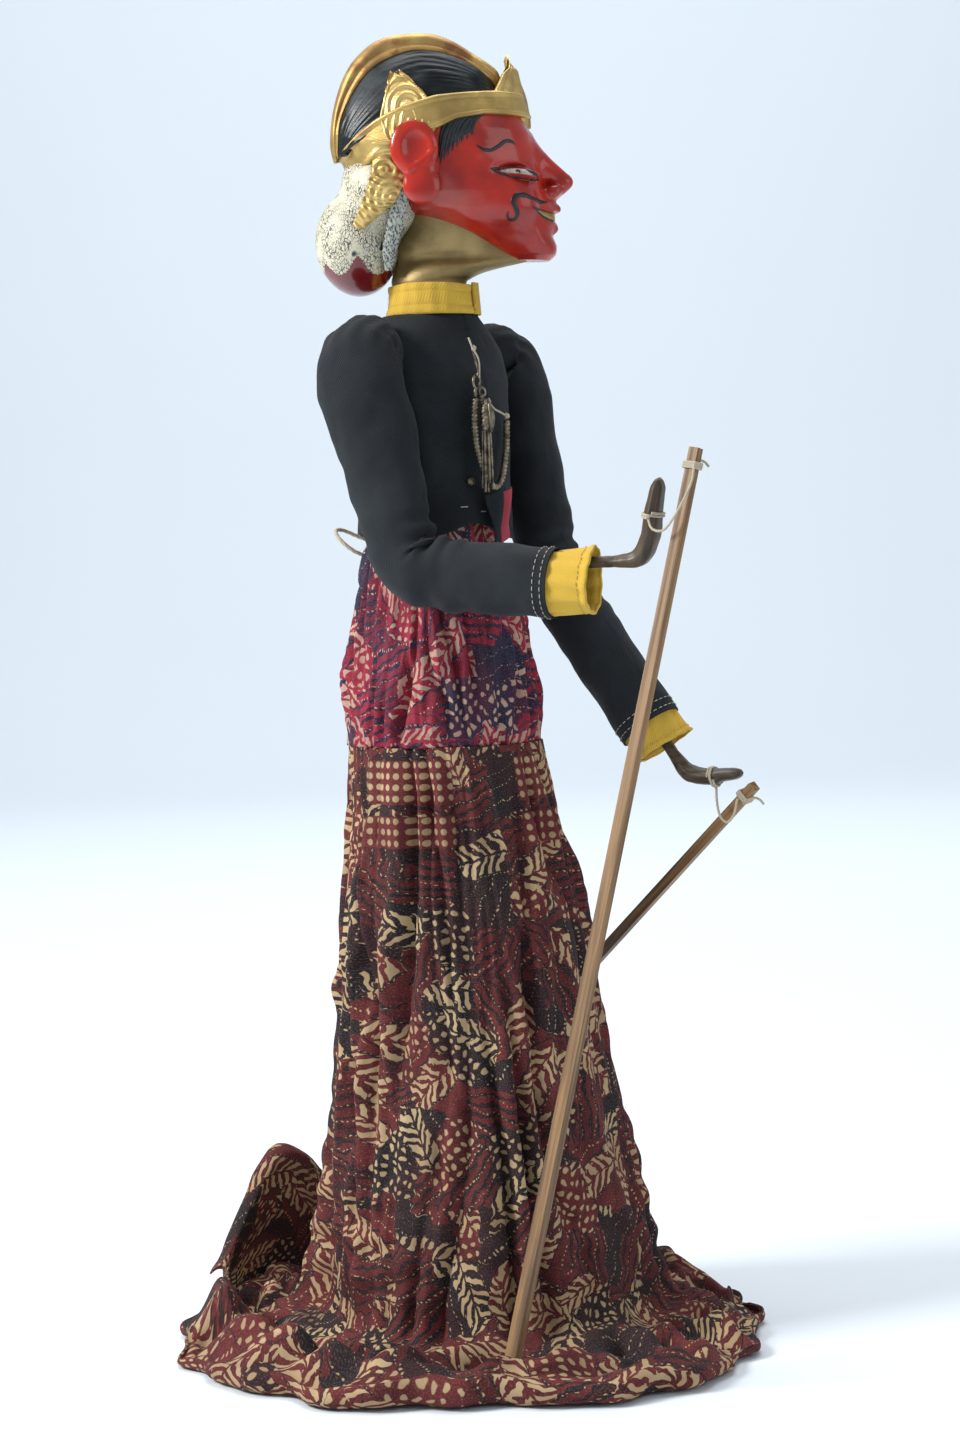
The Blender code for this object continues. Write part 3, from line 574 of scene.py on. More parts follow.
def plain_paint(name, colour, roughness):
    """A flat paint with a little streaking."""
    look = Look(name, roughness)
    place = look.place()
    cloud = look.noise(place, 300.0, 3.0)
    darker = tuple(0.55 * c for c in colour)
    look.colour(look.mix(look.step(cloud, 0.3, 0.75), colour, darker))
    look.bump(cloud, 0.0003, 0.3)
    return look.material


def wood(name, light, dark, roughness, along=(1.0, 1.0, 0.06)):
    """Grain drawn out along one direction, with rubbed lighter patches."""
    look = Look(name, roughness)
    place = look.place()
    grain = look.noise(look.scaled(place, *along), 260.0, 5.0, distortion=0.4)
    rub = look.step(look.noise(place, 40.0, 4.0), 0.45, 0.7)
    streaks = look.mix(look.step(grain, 0.35, 0.65), light, dark)
    brighter = tuple(min(1.0, 1.5 * c) for c in light)
    look.colour(look.mix(look.times(rub, 0.4), streaks, brighter))
    look.roughness(look.plus(look.times(grain, 0.3), roughness - 0.15))
    look.bump(grain, 0.0004, 0.5)
    return look.material


def twill(name, colour, faded, scale=1.0):
    """A woven cloth: fine diagonal ribs in the sheet's own directions, faded in patches."""
    look = Look(name, 0.85)
    place = look.place("UV")
    ribs = look.node("TexWave", wave_type="BANDS", bands_direction="DIAGONAL")
    look.feed(ribs.inputs["Vector"], place)
    ribs.inputs["Scale"].default_value = 520.0 * scale
    ribs.inputs["Distortion"].default_value = 1.5
    ribs.inputs["Detail"].default_value = 2.0
    where = look.place()
    fade = look.step(look.noise(where, 22.0, 5.0), 0.35, 0.72)
    lint = look.step(look.noise(where, 900.0, 2.0), 0.62, 0.80)
    base = look.mix(fade, colour, faded)
    ribbed = look.mix(look.times(ribs.outputs[1], 0.35), base, tuple(1.7 * c for c in faded))
    look.colour(look.mix(look.times(lint, 0.22), ribbed, tuple(min(0.9, 2.6 * c) for c in faded)))
    look.shader.inputs["Specular IOR Level"].default_value = 0.15
    look.shader.inputs["Sheen Weight"].default_value = 0.05
    look.shader.inputs["Sheen Roughness"].default_value = 0.5
    first = look.bump(look.noise(where, 160.0, 4.0), 0.0010, 0.35)
    look.bump(ribs.outputs[1], 0.0002, 0.6, first)
    return look.material


def string_look(name, colour):
    """Twisted fibres: fine slanting strands."""
    look = Look(name, 0.9)
    place = look.place()
    strands = look.noise(look.scaled(place, 1.0, 1.0, 0.7), 1500.0, 3.0)
    look.colour(look.mix(strands, tuple(0.55 * c for c in colour), colour))
    look.shader.inputs["Sheen Weight"].default_value = 0.2
    look.bump(strands, 0.0003, 0.8)
    return look.material


def old_metal():
    look = Look("old_metal", 0.42, 0.85)
    place = look.place()
    tarnish = look.noise(place, 260.0, 5.0)
    look.colour(look.mix(look.step(tarnish, 0.35, 0.7), (0.30, 0.255, 0.18), (0.075, 0.060, 0.042)))
    look.roughness(look.plus(look.times(tarnish, 0.4), 0.2))
    look.bump(tarnish, 0.0003, 0.4)
    return look.material


def batik(name, ground, second, cream, dark, bands, cell=27.0):
    """Hand-drawn batik in the cloth's own directions: patches of dots, feathers, dotted
    lines and stripes, each patch with its own slant, over a mottled ground.
    bands are distances down the cloth, in millimetres, where rows of dots run."""
    look = Look(name, 0.85)
    flat = look.scaled(look.place("UV"), 1000.0, 1000.0, 1000.0)
    wobble = look.noise(flat, 0.11, 2.0, "Color")
    shake = look.vector("MULTIPLY", look.vector("SUBTRACT", wobble, (0.5, 0.5, 0.5)), (9.0, 9.0, 0.0))
    drawn = look.vector("ADD", flat, shake)
    patches = look.node("TexVoronoi", feature="F1", distance="CHEBYCHEV")
    look.feed(patches.inputs["Vector"], drawn)
    patches.inputs["Scale"].default_value = 1.0 / cell
    borders = look.node("TexVoronoi", feature="DISTANCE_TO_EDGE")
    look.feed(borders.inputs["Vector"], drawn)
    borders.inputs["Scale"].default_value = 1.0 / cell
    split = look.node("SeparateColor")
    look.feed(split.inputs[0], patches.outputs["Color"])
    chance, kind, slant = split.outputs
    centre = look.vector("MULTIPLY", patches.outputs["Position"], (1.0, 1.0, 0.0))
    offset = look.vector("SUBTRACT", drawn, centre)
    turn = look.node("VectorRotate", rotation_type="Z_AXIS")
    look.feed(turn.inputs["Vector"], offset)
    look.feed(turn.inputs["Angle"], look.times(slant, 6.28))
    local = turn.outputs[0]
    parts = look.node("SeparateXYZ")
    look.feed(parts.inputs[0], local)
    x, y = parts.outputs[0], parts.outputs[1]

    # feathers: slanting bars on both sides of a rib
    arms = look.plus(x, look.times(look.math("ABSOLUTE", y), 0.85))
    bars = look.waves(arms, 6.0)
    far = look.math("ABSOLUTE", y)
    feather = look.times(look.step(bars, -0.05, 0.15), look.step(far, 0.5, 0.9))
    feather = look.times(feather, look.inverse(look.step(far, 8.2, 8.8)))
    from_edge = look.math("ABSOLUTE", look.math("SUBTRACT", far, 9.2))
    feather_edge = look.inverse(look.step(from_edge, 0.35, 0.8))

    # dots in rows
    def dots(vector, pitch, size):
        cell_place = look.vector("FRACTION", look.vector("DIVIDE", vector, (pitch, pitch, 1.0)))
        off = look.vector("SUBTRACT", cell_place, (0.5, 0.5, 0.0))
        away = look.vector("LENGTH", look.vector("MULTIPLY", off, (1.0, 1.0, 0.0)))
        return look.inverse(look.step(away, size - 0.05, size + 0.05))

    big_dots = dots(local, 5.2, 0.27)
    small_dots = dots(local, 2.6, 0.20)
    lines = look.waves(y, 8.0)
    dotted = look.times(small_dots, look.step(lines, 0.80, 0.90))
    stripe = look.step(look.waves(look.plus(y, look.times(x, 0.15)), 5.0), 0.25, 0.45)

    mottled = look.mix(look.step(look.noise(flat, 0.06, 3.0), 0.4, 0.62), ground, second)
    dark_ground = look.mix(look.step(chance, 0.64, 0.68), mottled, dark)

    def between(value, low, high, soft):
        return look.times(
            look.step(value, low - soft, low), look.inverse(look.step(value, high - soft, high))
        )

    is_feather = between(kind, 0.0, 0.50, 0.004)
    is_dots = between(kind, 0.50, 0.62, 0.004)
    is_lines = between(kind, 0.62, 1.01, 0.004)
    light = look.times(feather, is_feather)
    light = look.greater(light, look.times(big_dots, is_dots))
    light = look.greater(light, look.times(dotted, look.greater(is_lines, is_feather)))
    black = look.times(feather_edge, is_feather)
    black = look.greater(black, look.times(stripe, is_lines))
    edge = look.inverse(look.step(borders.outputs["Distance"], 0.012, 0.022))
    black = look.greater(black, look.times(edge, 0.7))

    down = look.node("SeparateXYZ")
    look.feed(down.inputs[0], flat)
    row_dots = dots(flat, 5.6, 0.29)
    in_bands = 0.0
    for low, high in bands:
        here = between(down.outputs[1], low + 0.5, high + 0.5, 0.5)
        patchy = look.step(look.noise(look.scaled(flat, 0.02, 0.004, 1.0), 1.0, 0.0), 0.47, 0.49)
        in_bands = look.greater(in_bands, look.times(here, patchy))
    painted = look.mix(black, dark_ground, dark)
    painted = look.mix(light, painted, cream)
    painted = look.mix(in_bands, painted, look.mix(row_dots, ground, cream))
    threads = look.noise(flat, 1.4, 2.0)
    faded = look.mix(
        look.times(look.step(threads, 0.45, 0.75), 0.30), painted, tuple(0.6 * c for c in cream)
    )
    look.shader.inputs["Specular IOR Level"].default_value = 0.2
    grime = look.step(look.noise(flat, 0.035, 4.0), 0.35, 0.7)
    look.colour(look.mix(look.times(grime, 0.35), faded, tuple(0.5 * c for c in ground)))
    weave = look.node("TexWave", wave_type="BANDS", bands_direction="X")
    look.feed(weave.inputs["Vector"], flat)
    weave.inputs["Scale"].default_value = 0.8
    first = look.bump(look.noise(flat, 0.25, 4.0), 0.0008, 0.5)
    look.bump(weave.outputs[1], 0.00015, 0.4, first)
    return look.material


# ---------------------------------------------------------------- camera, light and floor


def set_camera():
    """A long lens at the photo's viewing angle, leaning slightly so that the rod stands as it does there."""
    eye = TOWARD_CAMERA * 1.60 + UP * 0.40
    target = UP * 0.3131
    data = bpy.data.cameras.new("camera")
    data.sensor_fit = "VERTICAL"
    data.sensor_height = 36
    data.lens = 78.5
    data.shift_x = 0.0241
    data.clip_start = 0.05
    data.dof.use_dof = False
    camera = bpy.data.objects.new("camera", data)
    bpy.context.scene.collection.objects.link(camera)
    forward = unit(target - eye)
    right = unit(np.cross(forward, UP))
    above = np.cross(right, forward)
    roll = math.radians(-1.7)
    across = right * math.cos(roll) + above * math.sin(roll)
    upward = above * math.cos(roll) - right * math.sin(roll)
    camera.matrix_world = Matrix(
        [(across[k], upward[k], -forward[k], eye[k]) for k in range(3)] + [(0, 0, 0, 1)]
    )
    bpy.context.scene.camera = camera
    bpy.context.scene.view_settings.view_transform = "Standard"


def area_light(name, place, target, size, power, colour):
    data = bpy.data.lights.new(name, "AREA")
    data.shape = "RECTANGLE"
    data.size, data.size_y = size
    data.energy = power
    data.color = colour
    obj = bpy.data.objects.new(name, data)
    obj.location = place
    way = Vector(target) - Vector(place)
    obj.rotation_euler = way.to_track_quat("-Z", "Y").to_euler()
    bpy.context.scene.collection.objects.link(obj)


def set_light():
    """Soft light from above and from the left of the picture, and a light for the paper behind."""
    world = bpy.data.worlds.new("room")
    bpy.context.scene.world = world
    world.use_nodes = True
    world.node_tree.nodes["Background"].inputs[0].default_value = (0.86, 0.92, 1.0, 1.0)
    world.node_tree.nodes["Background"].inputs[1].default_value = 0.42
    middle = UP * 0.34
    white, cool = (1.0, 1.0, 1.0), (0.95, 0.98, 1.0)
    lights = (
        # name, place, what it points at, size, power, colour
        ("key", TOWARD_CAMERA * 0.5 - PHOTO_RIGHT * 1.5 + UP * 1.3, middle, (0.6, 0.6), 38.0, white),
        ("fill", TOWARD_CAMERA * 0.9 + PHOTO_RIGHT * 1.5 + UP * 0.8, middle, (1.2, 1.2), 6.0, cool),
        ("top", TOWARD_CAMERA * -0.5 + UP * 2.0, middle, (1.4, 1.4), 24.0, white),
        ("backdrop", TOWARD_CAMERA * -1.8 + UP * 2.6, TOWARD_CAMERA * -5.0 + UP, (2.5, 1.5), 68.0, cool),
    )
    for light in lights:
        area_light(*light)


def set_floor():
    """A pale sweep of paper: the floor runs back, curves up and becomes the wall."""
    curve_start, curve_radius, width = 3.6, 1.6, 7.0
    depth = [(-5.0, 0.0), (curve_start, 0.0)]
    for turn in np.linspace(0, math.pi / 2, 13)[1:]:
        along = curve_start + curve_radius * math.sin(turn)
        depth.append((along, curve_radius * (1 - math.cos(turn))))
    depth.append((curve_start + curve_radius, 5.0))
    points = []
    for along, height in depth:
        for side in (-width, width):
            points.append(PHOTO_RIGHT * side - TOWARD_CAMERA * along + UP * height)
    faces = [[2 * k, 2 * k + 1, 2 * k + 3, 2 * k + 2] for k in range(len(depth) - 1)]
    paper = Look("paper", 0.9)
    tint = paper.noise(paper.place(), 1.2, 2.0)
    paper.colour(paper.mix(tint, (0.80, 0.86, 0.91), (0.83, 0.885, 0.93)))
    shown("paper_sweep", points, faces, paper.material)


# ---------------------------------------------------------------- head, in head millimetres

SKULL = np.array((
    # up, back, front, half width, squareness
    (548.5, 42, 59.5, 8.0, 2.2),
    (551.0, 36, 62.0, 12.0, 2.3),
    (555.5, 27, 62.5, 16.0, 2.3),
    (562.0, 14, 61.0, 20.5, 2.3),
    (568.0, 0, 60.5, 24.0, 2.3),
    (574.0, -14, 60.0, 27.0, 2.3),
    (582.0, -26, 58.5, 29.5, 2.3),
    (592.0, -34, 56.0, 31.0, 2.2),
    (602.0, -38, 54.5, 32.0, 2.2),
    (612.0, -40, 52.0, 32.5, 2.2),
    (622.0, -40, 47.0, 32.0, 2.2),
    (632.0, -34, 38.0, 28.0, 2.2),
    (640.0, -20, 22.0, 16.0, 2.2),
))


def station(table, z, column):
    return np.interp(z, table[:, 0], table[:, column])


def stacked(table, u, s, z):
    """Distance, roughly, to a body given as level sections."""
    back, front = station(table, z, 1), station(table, z, 2)
    half, power = station(table, z, 3), station(table, z, 4)
    middle, reach = (front + back) / 2, (front - back) / 2
    level = (np.abs((u - middle) / reach) ** power + np.abs(s / half) ** power) ** (1 / power)
    sides = (level - 1) * np.minimum(reach, half)
    return np.maximum(sides, np.maximum(table[0, 0] - z, z - table[-1, 0]))


FACE_DROP = 4.2


def face_field(u, s, z):
    t = np.abs(s)
    z = z + FACE_DROP
    body = stacked(SKULL, u, s, z)
    body = soft_union(body, bar(u, t, z, (47.0, 0, 606.0), (67.2, 0, 588.5), 5.4, 4.3), 6.0)
    body = soft_union(body, bead(u, t, z, (68.6, 0, 586.4), (4.2, 3.4, 3.1), 0.5), 2.5)
    body = soft_union(body, bead(u, t, z, (62.5, 4.6, 582.6), (4.2, 3.0, 3.2), 0.3), 2.2)
    body = soft_union(body, bead(u, t, z, (54.5, 0, 555.0), (8.0, 9.0, 5.6), -0.2), 4.0)
    body = soft_union(body, bar(u, t, z, (65.0, 0, 584.0), (56.0, 0, 578.0), 3.4, 5.0), 3.0)
    body = soft_union(body, bead(u, t, z, (53.0, 0, 570.5), (11.0, 12.5, 10.5)), 4.0)
    body = soft_union(body, bead(u, t, z, (38.0, 21.0, 577.0), (14.0, 7.0, 10.0), -0.35), 5.0)
    body = soft_union(body, bar(u, t, z, (52.0, 5.0, 602.0), (26.0, 27.5, 601.0), 2.6, 1.8), 5.0)
    body = soft_cut(body, bead(u, t, z, (45.5, 21.5, 590.8), (12.5, 7.5, 3.2), -0.12), 3.0)
    body = soft_union(body, bead(u, t, z, (43.5, 19.6, 590.6), (11.8, 6.2, 2.9), -0.12), 1.2)
    body = soft_union(body, bar(u, t, z, (63.6, 0.0, 574.0), (54.5, 11.0, 573.6), 2.6, 1.2), 2.0)
    body = soft_union(body, bar(u, t, z, (62.2, 0.0, 564.2), (54.0, 11.0, 570.4), 2.4, 1.0), 2.0)
    gape = bar(u, t, z, (66.0, 0.0, 569.4), (53.4, 13.5, 571.8), 2.9, 1.2)
    body = soft_cut(body, gape, 0.8)
    return body


EAR_DROP = 3.6


def ear_field(u, s, z):
    z = z + EAR_DROP
    s = s - 1.8
    upper = bead(u, s, z, (-7.0, 34.5, 602.0), (12.0, 3.6, 14.0), 0.10)
    lobe = bead(u, s, z, (-3.8, 33.8, 583.5), (9.4, 3.6, 9.2), -0.15)
    ear = soft_union(upper, lobe, 1.4)
    ear = soft_cut(ear, bead(u, s, z, (-5.6, 39.6, 602.0), (8.6, 4.6, 10.6), 0.12), 0.8)
    ear = soft_union(ear, bar(u, s, z, (-10.0, 36.0, 591.0), (3.2, 35.6, 600.5), 1.4, 1.0), 0.9)
    ear = soft_cut(ear, bar(u, s, z, (-12.0, 38.4, 588.4), (3.5, 38.0, 595.6), 1.1, 0.8), 0.5)
    root = bead(u, s, z, (-4.0, 30.0, 594.0), (9.5, 5.0, 15.0), 0.0)
    return soft_union(ear, root, 1.5)


def bun_field(u, s, z):
    bun = bead(u, s, z, (-37.6, 0, 555.0), (21.0, 21.5, 26.2), 0.12)
    nape = bead(u, s, z, (-24.0, 0, 581.0), (20.0, 26.5, 25.0), 0.3)
    return soft_union(bun, nape, 6.0)


def solid_from(name, field, low, high, step, look):
    points, faces = skin(field, low, high, step)
    return shown(name, head_space(points), faces, look)


NECK = (
    # up, back, front, half width
    (521.8, -18.9, 18.0, 18.4),
    (525.0, -19.2, 17.6, 18.3),
    (534.0, -20.6, 17.2, 18.4),
    (536.5, -20.6, 20.0, 18.6),
    (539.5, -19.8, 27.0, 18.6),
    (542.0, -19.2, 38.0, 17.6),
    (544.0, -18.6, 48.0, 15.0),
    (546.5, -18.2, 53.0, 13.0),
    (551.0, -18.0, 48.0, 15.0),
    (560.0, -14.5, 40.0, 17.0),
    (571.0, -11.0, 22.0, 18.0),
)


def make_neck(look):
    """The gilt neck, flaring forward under the jaw."""
    angles = circle(64)
    stations = smooth_path(NECK, 60)
    rings = []
    for z, back, front, half in stations[::-1]:
        reach, middle = (front - back) / 2, (front + back) / 2
        u = middle + reach * np.cos(angles)
        narrow = 1 - 0.35 * wave(front, 22.0, 50.0) * np.maximum(0, np.cos(angles)) ** 2
        s = half * np.sin(angles) * narrow
        rings.append(head_space(np.stack([u, s, np.full_like(u, z)], -1)))
    neck = cloth("neck", rings, look, thickness=0.0022)
    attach(neck, "head_rod")


def on_face(tree, u, side, z, lift):
    """The point of the face at (u, z) seen from one side, lifted off it in mm, and its normal."""
    z = z - FACE_DROP
    start = head_space((u, side * 80.0, z))
    way = head_space((u, 0.0, z)) - start
    place, normal, _, _ = tree.ray_cast(Vector(start), Vector(unit(way)))
    if place is None:
        return None
    return np.array(place) + np.array(normal) * lift / 1000, np.array(normal)


def painted_line(name, tree, points, widths, look, side, lift):
    """A brush stroke: a thin raised ribbon lying on the face."""
    path = smooth_path(np.column_stack([points, widths]), 10 * len(points))
    centres, normals, halves = [], [], []
    for u, z, width in path:
        found = on_face(tree, u, side, z, lift)
        if found is None:
            continue
        centres.append(found[0])
        normals.append(found[1])
        halves.append(max(width, 0.08) / 2000)
    centres, normals = np.array(centres), np.array(normals)
    heading = np.gradient(centres, axis=0)
    across = np.cross(heading, normals)
    across /= np.maximum(np.linalg.norm(across, axis=1, keepdims=True), 1e-9)
    halves = np.array(halves)[:, None]
    rows = np.stack([
        centres - across * halves - normals * 0.0004,
        centres - across * halves * 0.9,
        centres + normals * 0.00008,
        centres + across * halves * 0.9,
        centres + across * halves - normals * 0.0004,
    ], 1)
    faces, _ = grid_faces(len(rows), 5, False)
    return shown(name, rows.reshape(-1, 3), faces, look)


def tree_of(obj):
    mesh = obj.data
    return BVHTree.FromPolygons([v.co for v in mesh.vertices], [tuple(p.vertices) for p in mesh.polygons])


BROW = (
    (24.0, 603.6), (27.0, 601.6), (31.0, 601.2), (35.0, 603.4), (38.5, 606.0), (41.5, 605.8), (43.2, 604.6)
)
EYE_TOP = (
    (30.5, 592.4), (34.0, 592.2), (38.0, 593.6), (43.0, 593.6), (48.0, 592.4), (52.0, 590.0), (54.5, 588.2)
)
EYE_FOOT = ((31.0, 592.0), (35.0, 589.8), (40.0, 588.6), (46.0, 587.8), (51.0, 587.4), (55.0, 587.8))
EYE_WHITE = ((35.5, 591.3), (39.0, 591.3), (43.5, 591.0), (48.0, 590.2), (51.5, 589.0))
PUPIL = ((43.0, 591.9), (44.2, 590.9), (45.2, 590.0))
# the route of a dark stroke of painted shade along the open mouth, standing for its shadowed inside
MOUTH_SHADE = ((64.5, 568.6), (59.5, 569.6), (55.5, 571.0), (51.5, 573.2))
SIDE_TEETH = ((64.3, 569.0), (59.8, 569.8), (56.4, 570.9), (54.0, 572.0))
MOUSTACHE = (
    (59.0, 576.6), (55.0, 576.4), (51.0, 577.6), (46.5, 579.0), (43.0, 578.4), (41.6, 575.6), (42.6, 572.6),
    (43.4, 569.8), (42.2, 567.4), (39.8, 567.0), (38.4, 568.8), (39.0, 571.0),
)


BRUSH_STROKES = (
    # name, route, widths in mm, paint, height above the face in mm
    ("brow", BROW, (0.6, 1.7, 2.0, 2.1, 2.1, 1.8, 0.5), "ink", 0.18),
    ("lid", EYE_TOP, (0.6, 1.7, 1.9, 1.9, 2.0, 1.7, 0.6), "ink", 0.30),
    ("under", EYE_FOOT, (0.6, 1.4, 1.6, 1.7, 1.5, 0.6), "ink", 0.26),
    ("moustache", MOUSTACHE, (0.8, 2.6, 2.2, 2.8, 3.0, 2.9, 2.6, 2.2, 1.8, 1.5, 1.2, 0.5), "ink", 0.18),
    ("white", EYE_WHITE, (0.8, 1.9, 2.3, 1.9, 0.8), "eye", 0.12),
    ("pupil", PUPIL, (1.0, 2.0, 1.2), "ink", 0.22),
    # the dark stroke along the mouth is painted shade for the inside of the open mouth, drawn with the ink
    # paint
    ("gap", MOUTH_SHADE, (4.6, 4.8, 3.6, 0.8), "ink", 0.12),
    ("gold", SIDE_TEETH, (2.8, 2.8, 2.0, 0.6), "teeth", 0.34),
)


def make_hairline(tree, side, look):
    """The painted hair in front of the ear: a dark mass, then fine strokes with uneven ends."""
    made = []
    for share in np.linspace(0, 1, 9):
        top = (11.0 + 16.0 * share, 620.0)
        foot = (5.4 + 15.0 * share, 600.5 + 9.5 * share)
        middle = ((top[0] + foot[0]) / 2 - 1.0, (top[1] + foot[1]) / 2)
        made.append(painted_line("mass", tree, (top, middle, foot), (2.4, 3.0, 1.6), look, side, 0.12))
    for k in range(46):
        share = k / 45
        top = (13.0 + 16.0 * share + 0.8 * math.sin(7 * k), 620.0)
        foot = (4.4 + 18.0 * share**1.3, 594.5 + 16.5 * share + 2.2 * math.sin(5.1 * k))
        bend = ((top[0] + foot[0]) / 2 - 1.6, (top[1] + foot[1]) / 2 + 1.5)
        lift = 0.10 + 0.1 * (k % 3)
        made.append(painted_line("hair", tree, (top, bend, foot), (1.6, 1.5, 0.3), look, side, lift))
    return made


def make_ears(look):
    step = 0.55
    ears = []
    for side in (-1, 1):
        points, faces = skin(ear_field, (-22, 24, 564), (10, 43, 616), step)
        points[:, 1] *= side
        faces = faces if side > 0 else faces[:, ::-1]
        ears.append(shown("ear", head_space(points), faces, look))
    return joined("ears", ears)


def make_front_teeth(look):
    """A curved row of small teeth between the lips."""
    angles = np.linspace(-1.25, 1.25, 61)
    rows = []
    for z, back in ((573.4, 1.6), (571.6, 0.5), (569.2, 0.2), (567.2, 0.4), (565.2, 1.4)):
        tooth = 0.5 * np.abs(np.sin(angles * 8.0)) ** 0.5
        u = 50.4 + (12.6 - back + tooth) * np.cos(angles)
        s = (12.4 - back + tooth) * np.sin(angles)
        rows.append(head_space(np.stack([u, s, np.full_like(u, z - FACE_DROP)], -1)))
    return cloth("teeth", rows, look, closed=False, thickness=0.001)


def make_face(looks):
    """The lacquered face with its ears, painted brow, eye and moustache, the gold teeth, and a dark stroke
    of painted shade along the open mouth.
    """
    fine = 0.7
    face = solid_from("face", face_field, (-44, -36, 540), (76, 36, 640), fine, looks["red"])
    tree = tree_of(face)
    painted = {"ink": [], "eye": [], "teeth": []}
    for side in (-1, 1):
        for name, route, widths, paint, lift in BRUSH_STROKES:
            painted[paint].append(painted_line(name, tree, route, widths, looks[paint], side, lift))
    for side in (-1, 1):
        painted["ink"] += make_hairline(tree, side, looks["hair_ink"])
    # the painted brow, eye, moustache and hair, together with the painted shade along the mouth
    ink = joined("face_paint_and_mouth_shade", painted["ink"])
    whites = joined("eye_whites", painted["eye"])
    side_teeth = joined("side_teeth", painted["teeth"])
    ears = make_ears(looks["red"])
    teeth = make_front_teeth(looks["teeth"])
    for obj in (face, ink, whites, side_teeth, ears, teeth):
        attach(obj, "head_rod")
    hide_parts("head")


# ---------------------------------------------------------------- crown and hair

CROWN_OUTER = (
    (37.0, 635.5), (34.5, 640.0), (24.0, 647.6), (12.0, 655.0), (-1.0, 658.6), (-20.0, 657.0),
    (-32.0, 650.2), (-41.0, 638.5), (-46.8, 621.5), (-48.8, 606.0), (-47.5, 597.0)
)
CROWN_INNER = (
    (34.6, 630.5), (31.5, 634.5), (19.0, 643.2), (4.0, 648.2), (-9.0, 648.6), (-25.0, 642.6),
    (-35.0, 631.4), (-43.0, 616.6), (-45.2, 603.0), (-45.4, 598.0)
)
CROWN_FOOT = (
    (34.0, 624.5), (20.0, 623.0), (4.0, 621.0), (-10.0, 616.0), (-25.0, 609.0), (-36.0, 603.0),
    (-42.0, 598.5)
)
BAND_TOP = (
    (-50.0, 597.0), (-43.0, 600.5), (-34.0, 608.0), (-25.0, 614.0), (-12.0, 620.0), (4.0, 624.4),
    (20.0, 625.8), (36.0, 627.0), (52.0, 627.2)
)
BAND_FOOT = (
    (-50.0, 580.0), (-43.0, 584.5), (-34.0, 591.5), (-24.0, 598.0), (-10.0, 603.5), (5.0, 608.0),
    (14.0, 612.4), (28.0, 614.8), (52.0, 615.2)
)


def dome_half(u, z):
    """Half the crown's width at a point of its side view, in mm."""
    left = 1 - (np.asarray(u, float) / 50.5) ** 2 - ((np.asarray(z, float) - 600.0) / 55.5) ** 2
    return 34.0 * np.sqrt(np.maximum(left, 0.0))


def make_rim(look, outer, inner, ends):
    """The rounded gilt rim that runs over the crown from front to back."""
    profile = (
        # share from the outer edge to the inner one, half width in mm, lift outwards
        (0.00, 0.0, 0.9), (0.00, 5.0, 0.8), (0.00, 8.6, 0.2), (0.06, 10.4, 0.0), (0.20, 11.9, 0.0),
        (0.40, 12.6, 0.0),
        (0.52, 12.3, 0.0), (0.60, 12.1, 0.0), (0.68, 13.0, 0.0), (0.82, 13.9, 0.0), (0.95, 13.8, 0.0),
        (1.03, 12.6, 0.0), (1.06, 8.0, 0.0),
    )
    rows = []
    whole = [(share, -half, lift) for share, half, lift in profile[::-1]] + list(profile[1:])
    away = outer - inner
    away = away / np.maximum(np.linalg.norm(away, axis=1, keepdims=True), 1e-9)
    for share, half, lift in whole:
        line = outer + (inner - outer) * share
        line = line + away * lift
        dents = 0.25 * np.sin(line[:, 0] * 0.31 + share * 3) * np.sin(line[:, 1] * 0.23)
        half = (half + dents * np.sign(half)) * (1 - ends)
        rows.append(head_space(np.stack([line[:, 0], half, line[:, 1]], -1)))
    return cloth("crown_rim", rows, look, closed=False, thickness=0.0015)


def make_panels(look, inner, foot, ends):
    """The black sides of the crown, under the rim."""
    panels = []
    for side in (-1, 1):
        rows = []
        for share in np.linspace(0, 1, 40):
            line = inner + (foot - inner) * share
            half = np.maximum(dome_half(line[:, 0], line[:, 1]), 12.2 * (1 - 0.25 * share))
            half = half + 0.5 * rough(np.column_stack([line / 1000, np.full(len(line), share)]), 0.02, side)
            half = half * (1 - ends * (1 - share))
            rows.append(head_space(np.stack([line[:, 0], side * half, line[:, 1]], -1)))
        rows = np.array(rows)[:, ::side]
        panels.append(cloth("panel", rows, look, closed=False, thickness=0.002))
    return joined("crown_panels", panels)


def make_band(look):
    """The gilt band round the head, with a raised bead along both edges."""
    angles = circle(220)
    u = 2.0 + 48.2 * np.cos(angles)
    s = 35.2 * np.sin(angles)
    top, low = np.array(BAND_TOP), np.array(BAND_FOOT)
    high = np.interp(u, top[:, 0], top[:, 1])
    base = np.interp(u, low[:, 0], low[:, 1])
    rows = []
    for share, out in (
        (0.0, -3.4), (0.0, -0.6), (0.03, 0.3), (0.08, 0.7), (0.14, 0.5), (0.19, -0.3), (0.26, -0.5),
        (0.5, 0.1),
        (0.74, -0.4), (0.81, -0.2), (0.86, 0.6), (0.92, 0.8), (0.97, 0.4), (1.0, -0.6), (1.0, -3.6),
    ):
        z = high + (base - high) * share
        dome = np.sqrt(np.maximum(1 - ((z - 600.0) / 62.0) ** 2, 0.1)) / math.sqrt(1 - (22 / 62.0) ** 2)
        shrink = np.where(z > 600.0, np.clip(dome, 0.8, 1.03), 1.0)
        shrink = shrink * (1 - 0.12 * np.clip((602.0 - z) / 18.0, 0, 1))
        along = 2.0 + (u - 2.0) * shrink + out * np.cos(angles)
        rows.append(head_space(np.stack([along, s * shrink + out * np.sin(angles), z], -1)))
    return cloth("diadem", rows, look, thickness=0.0008)


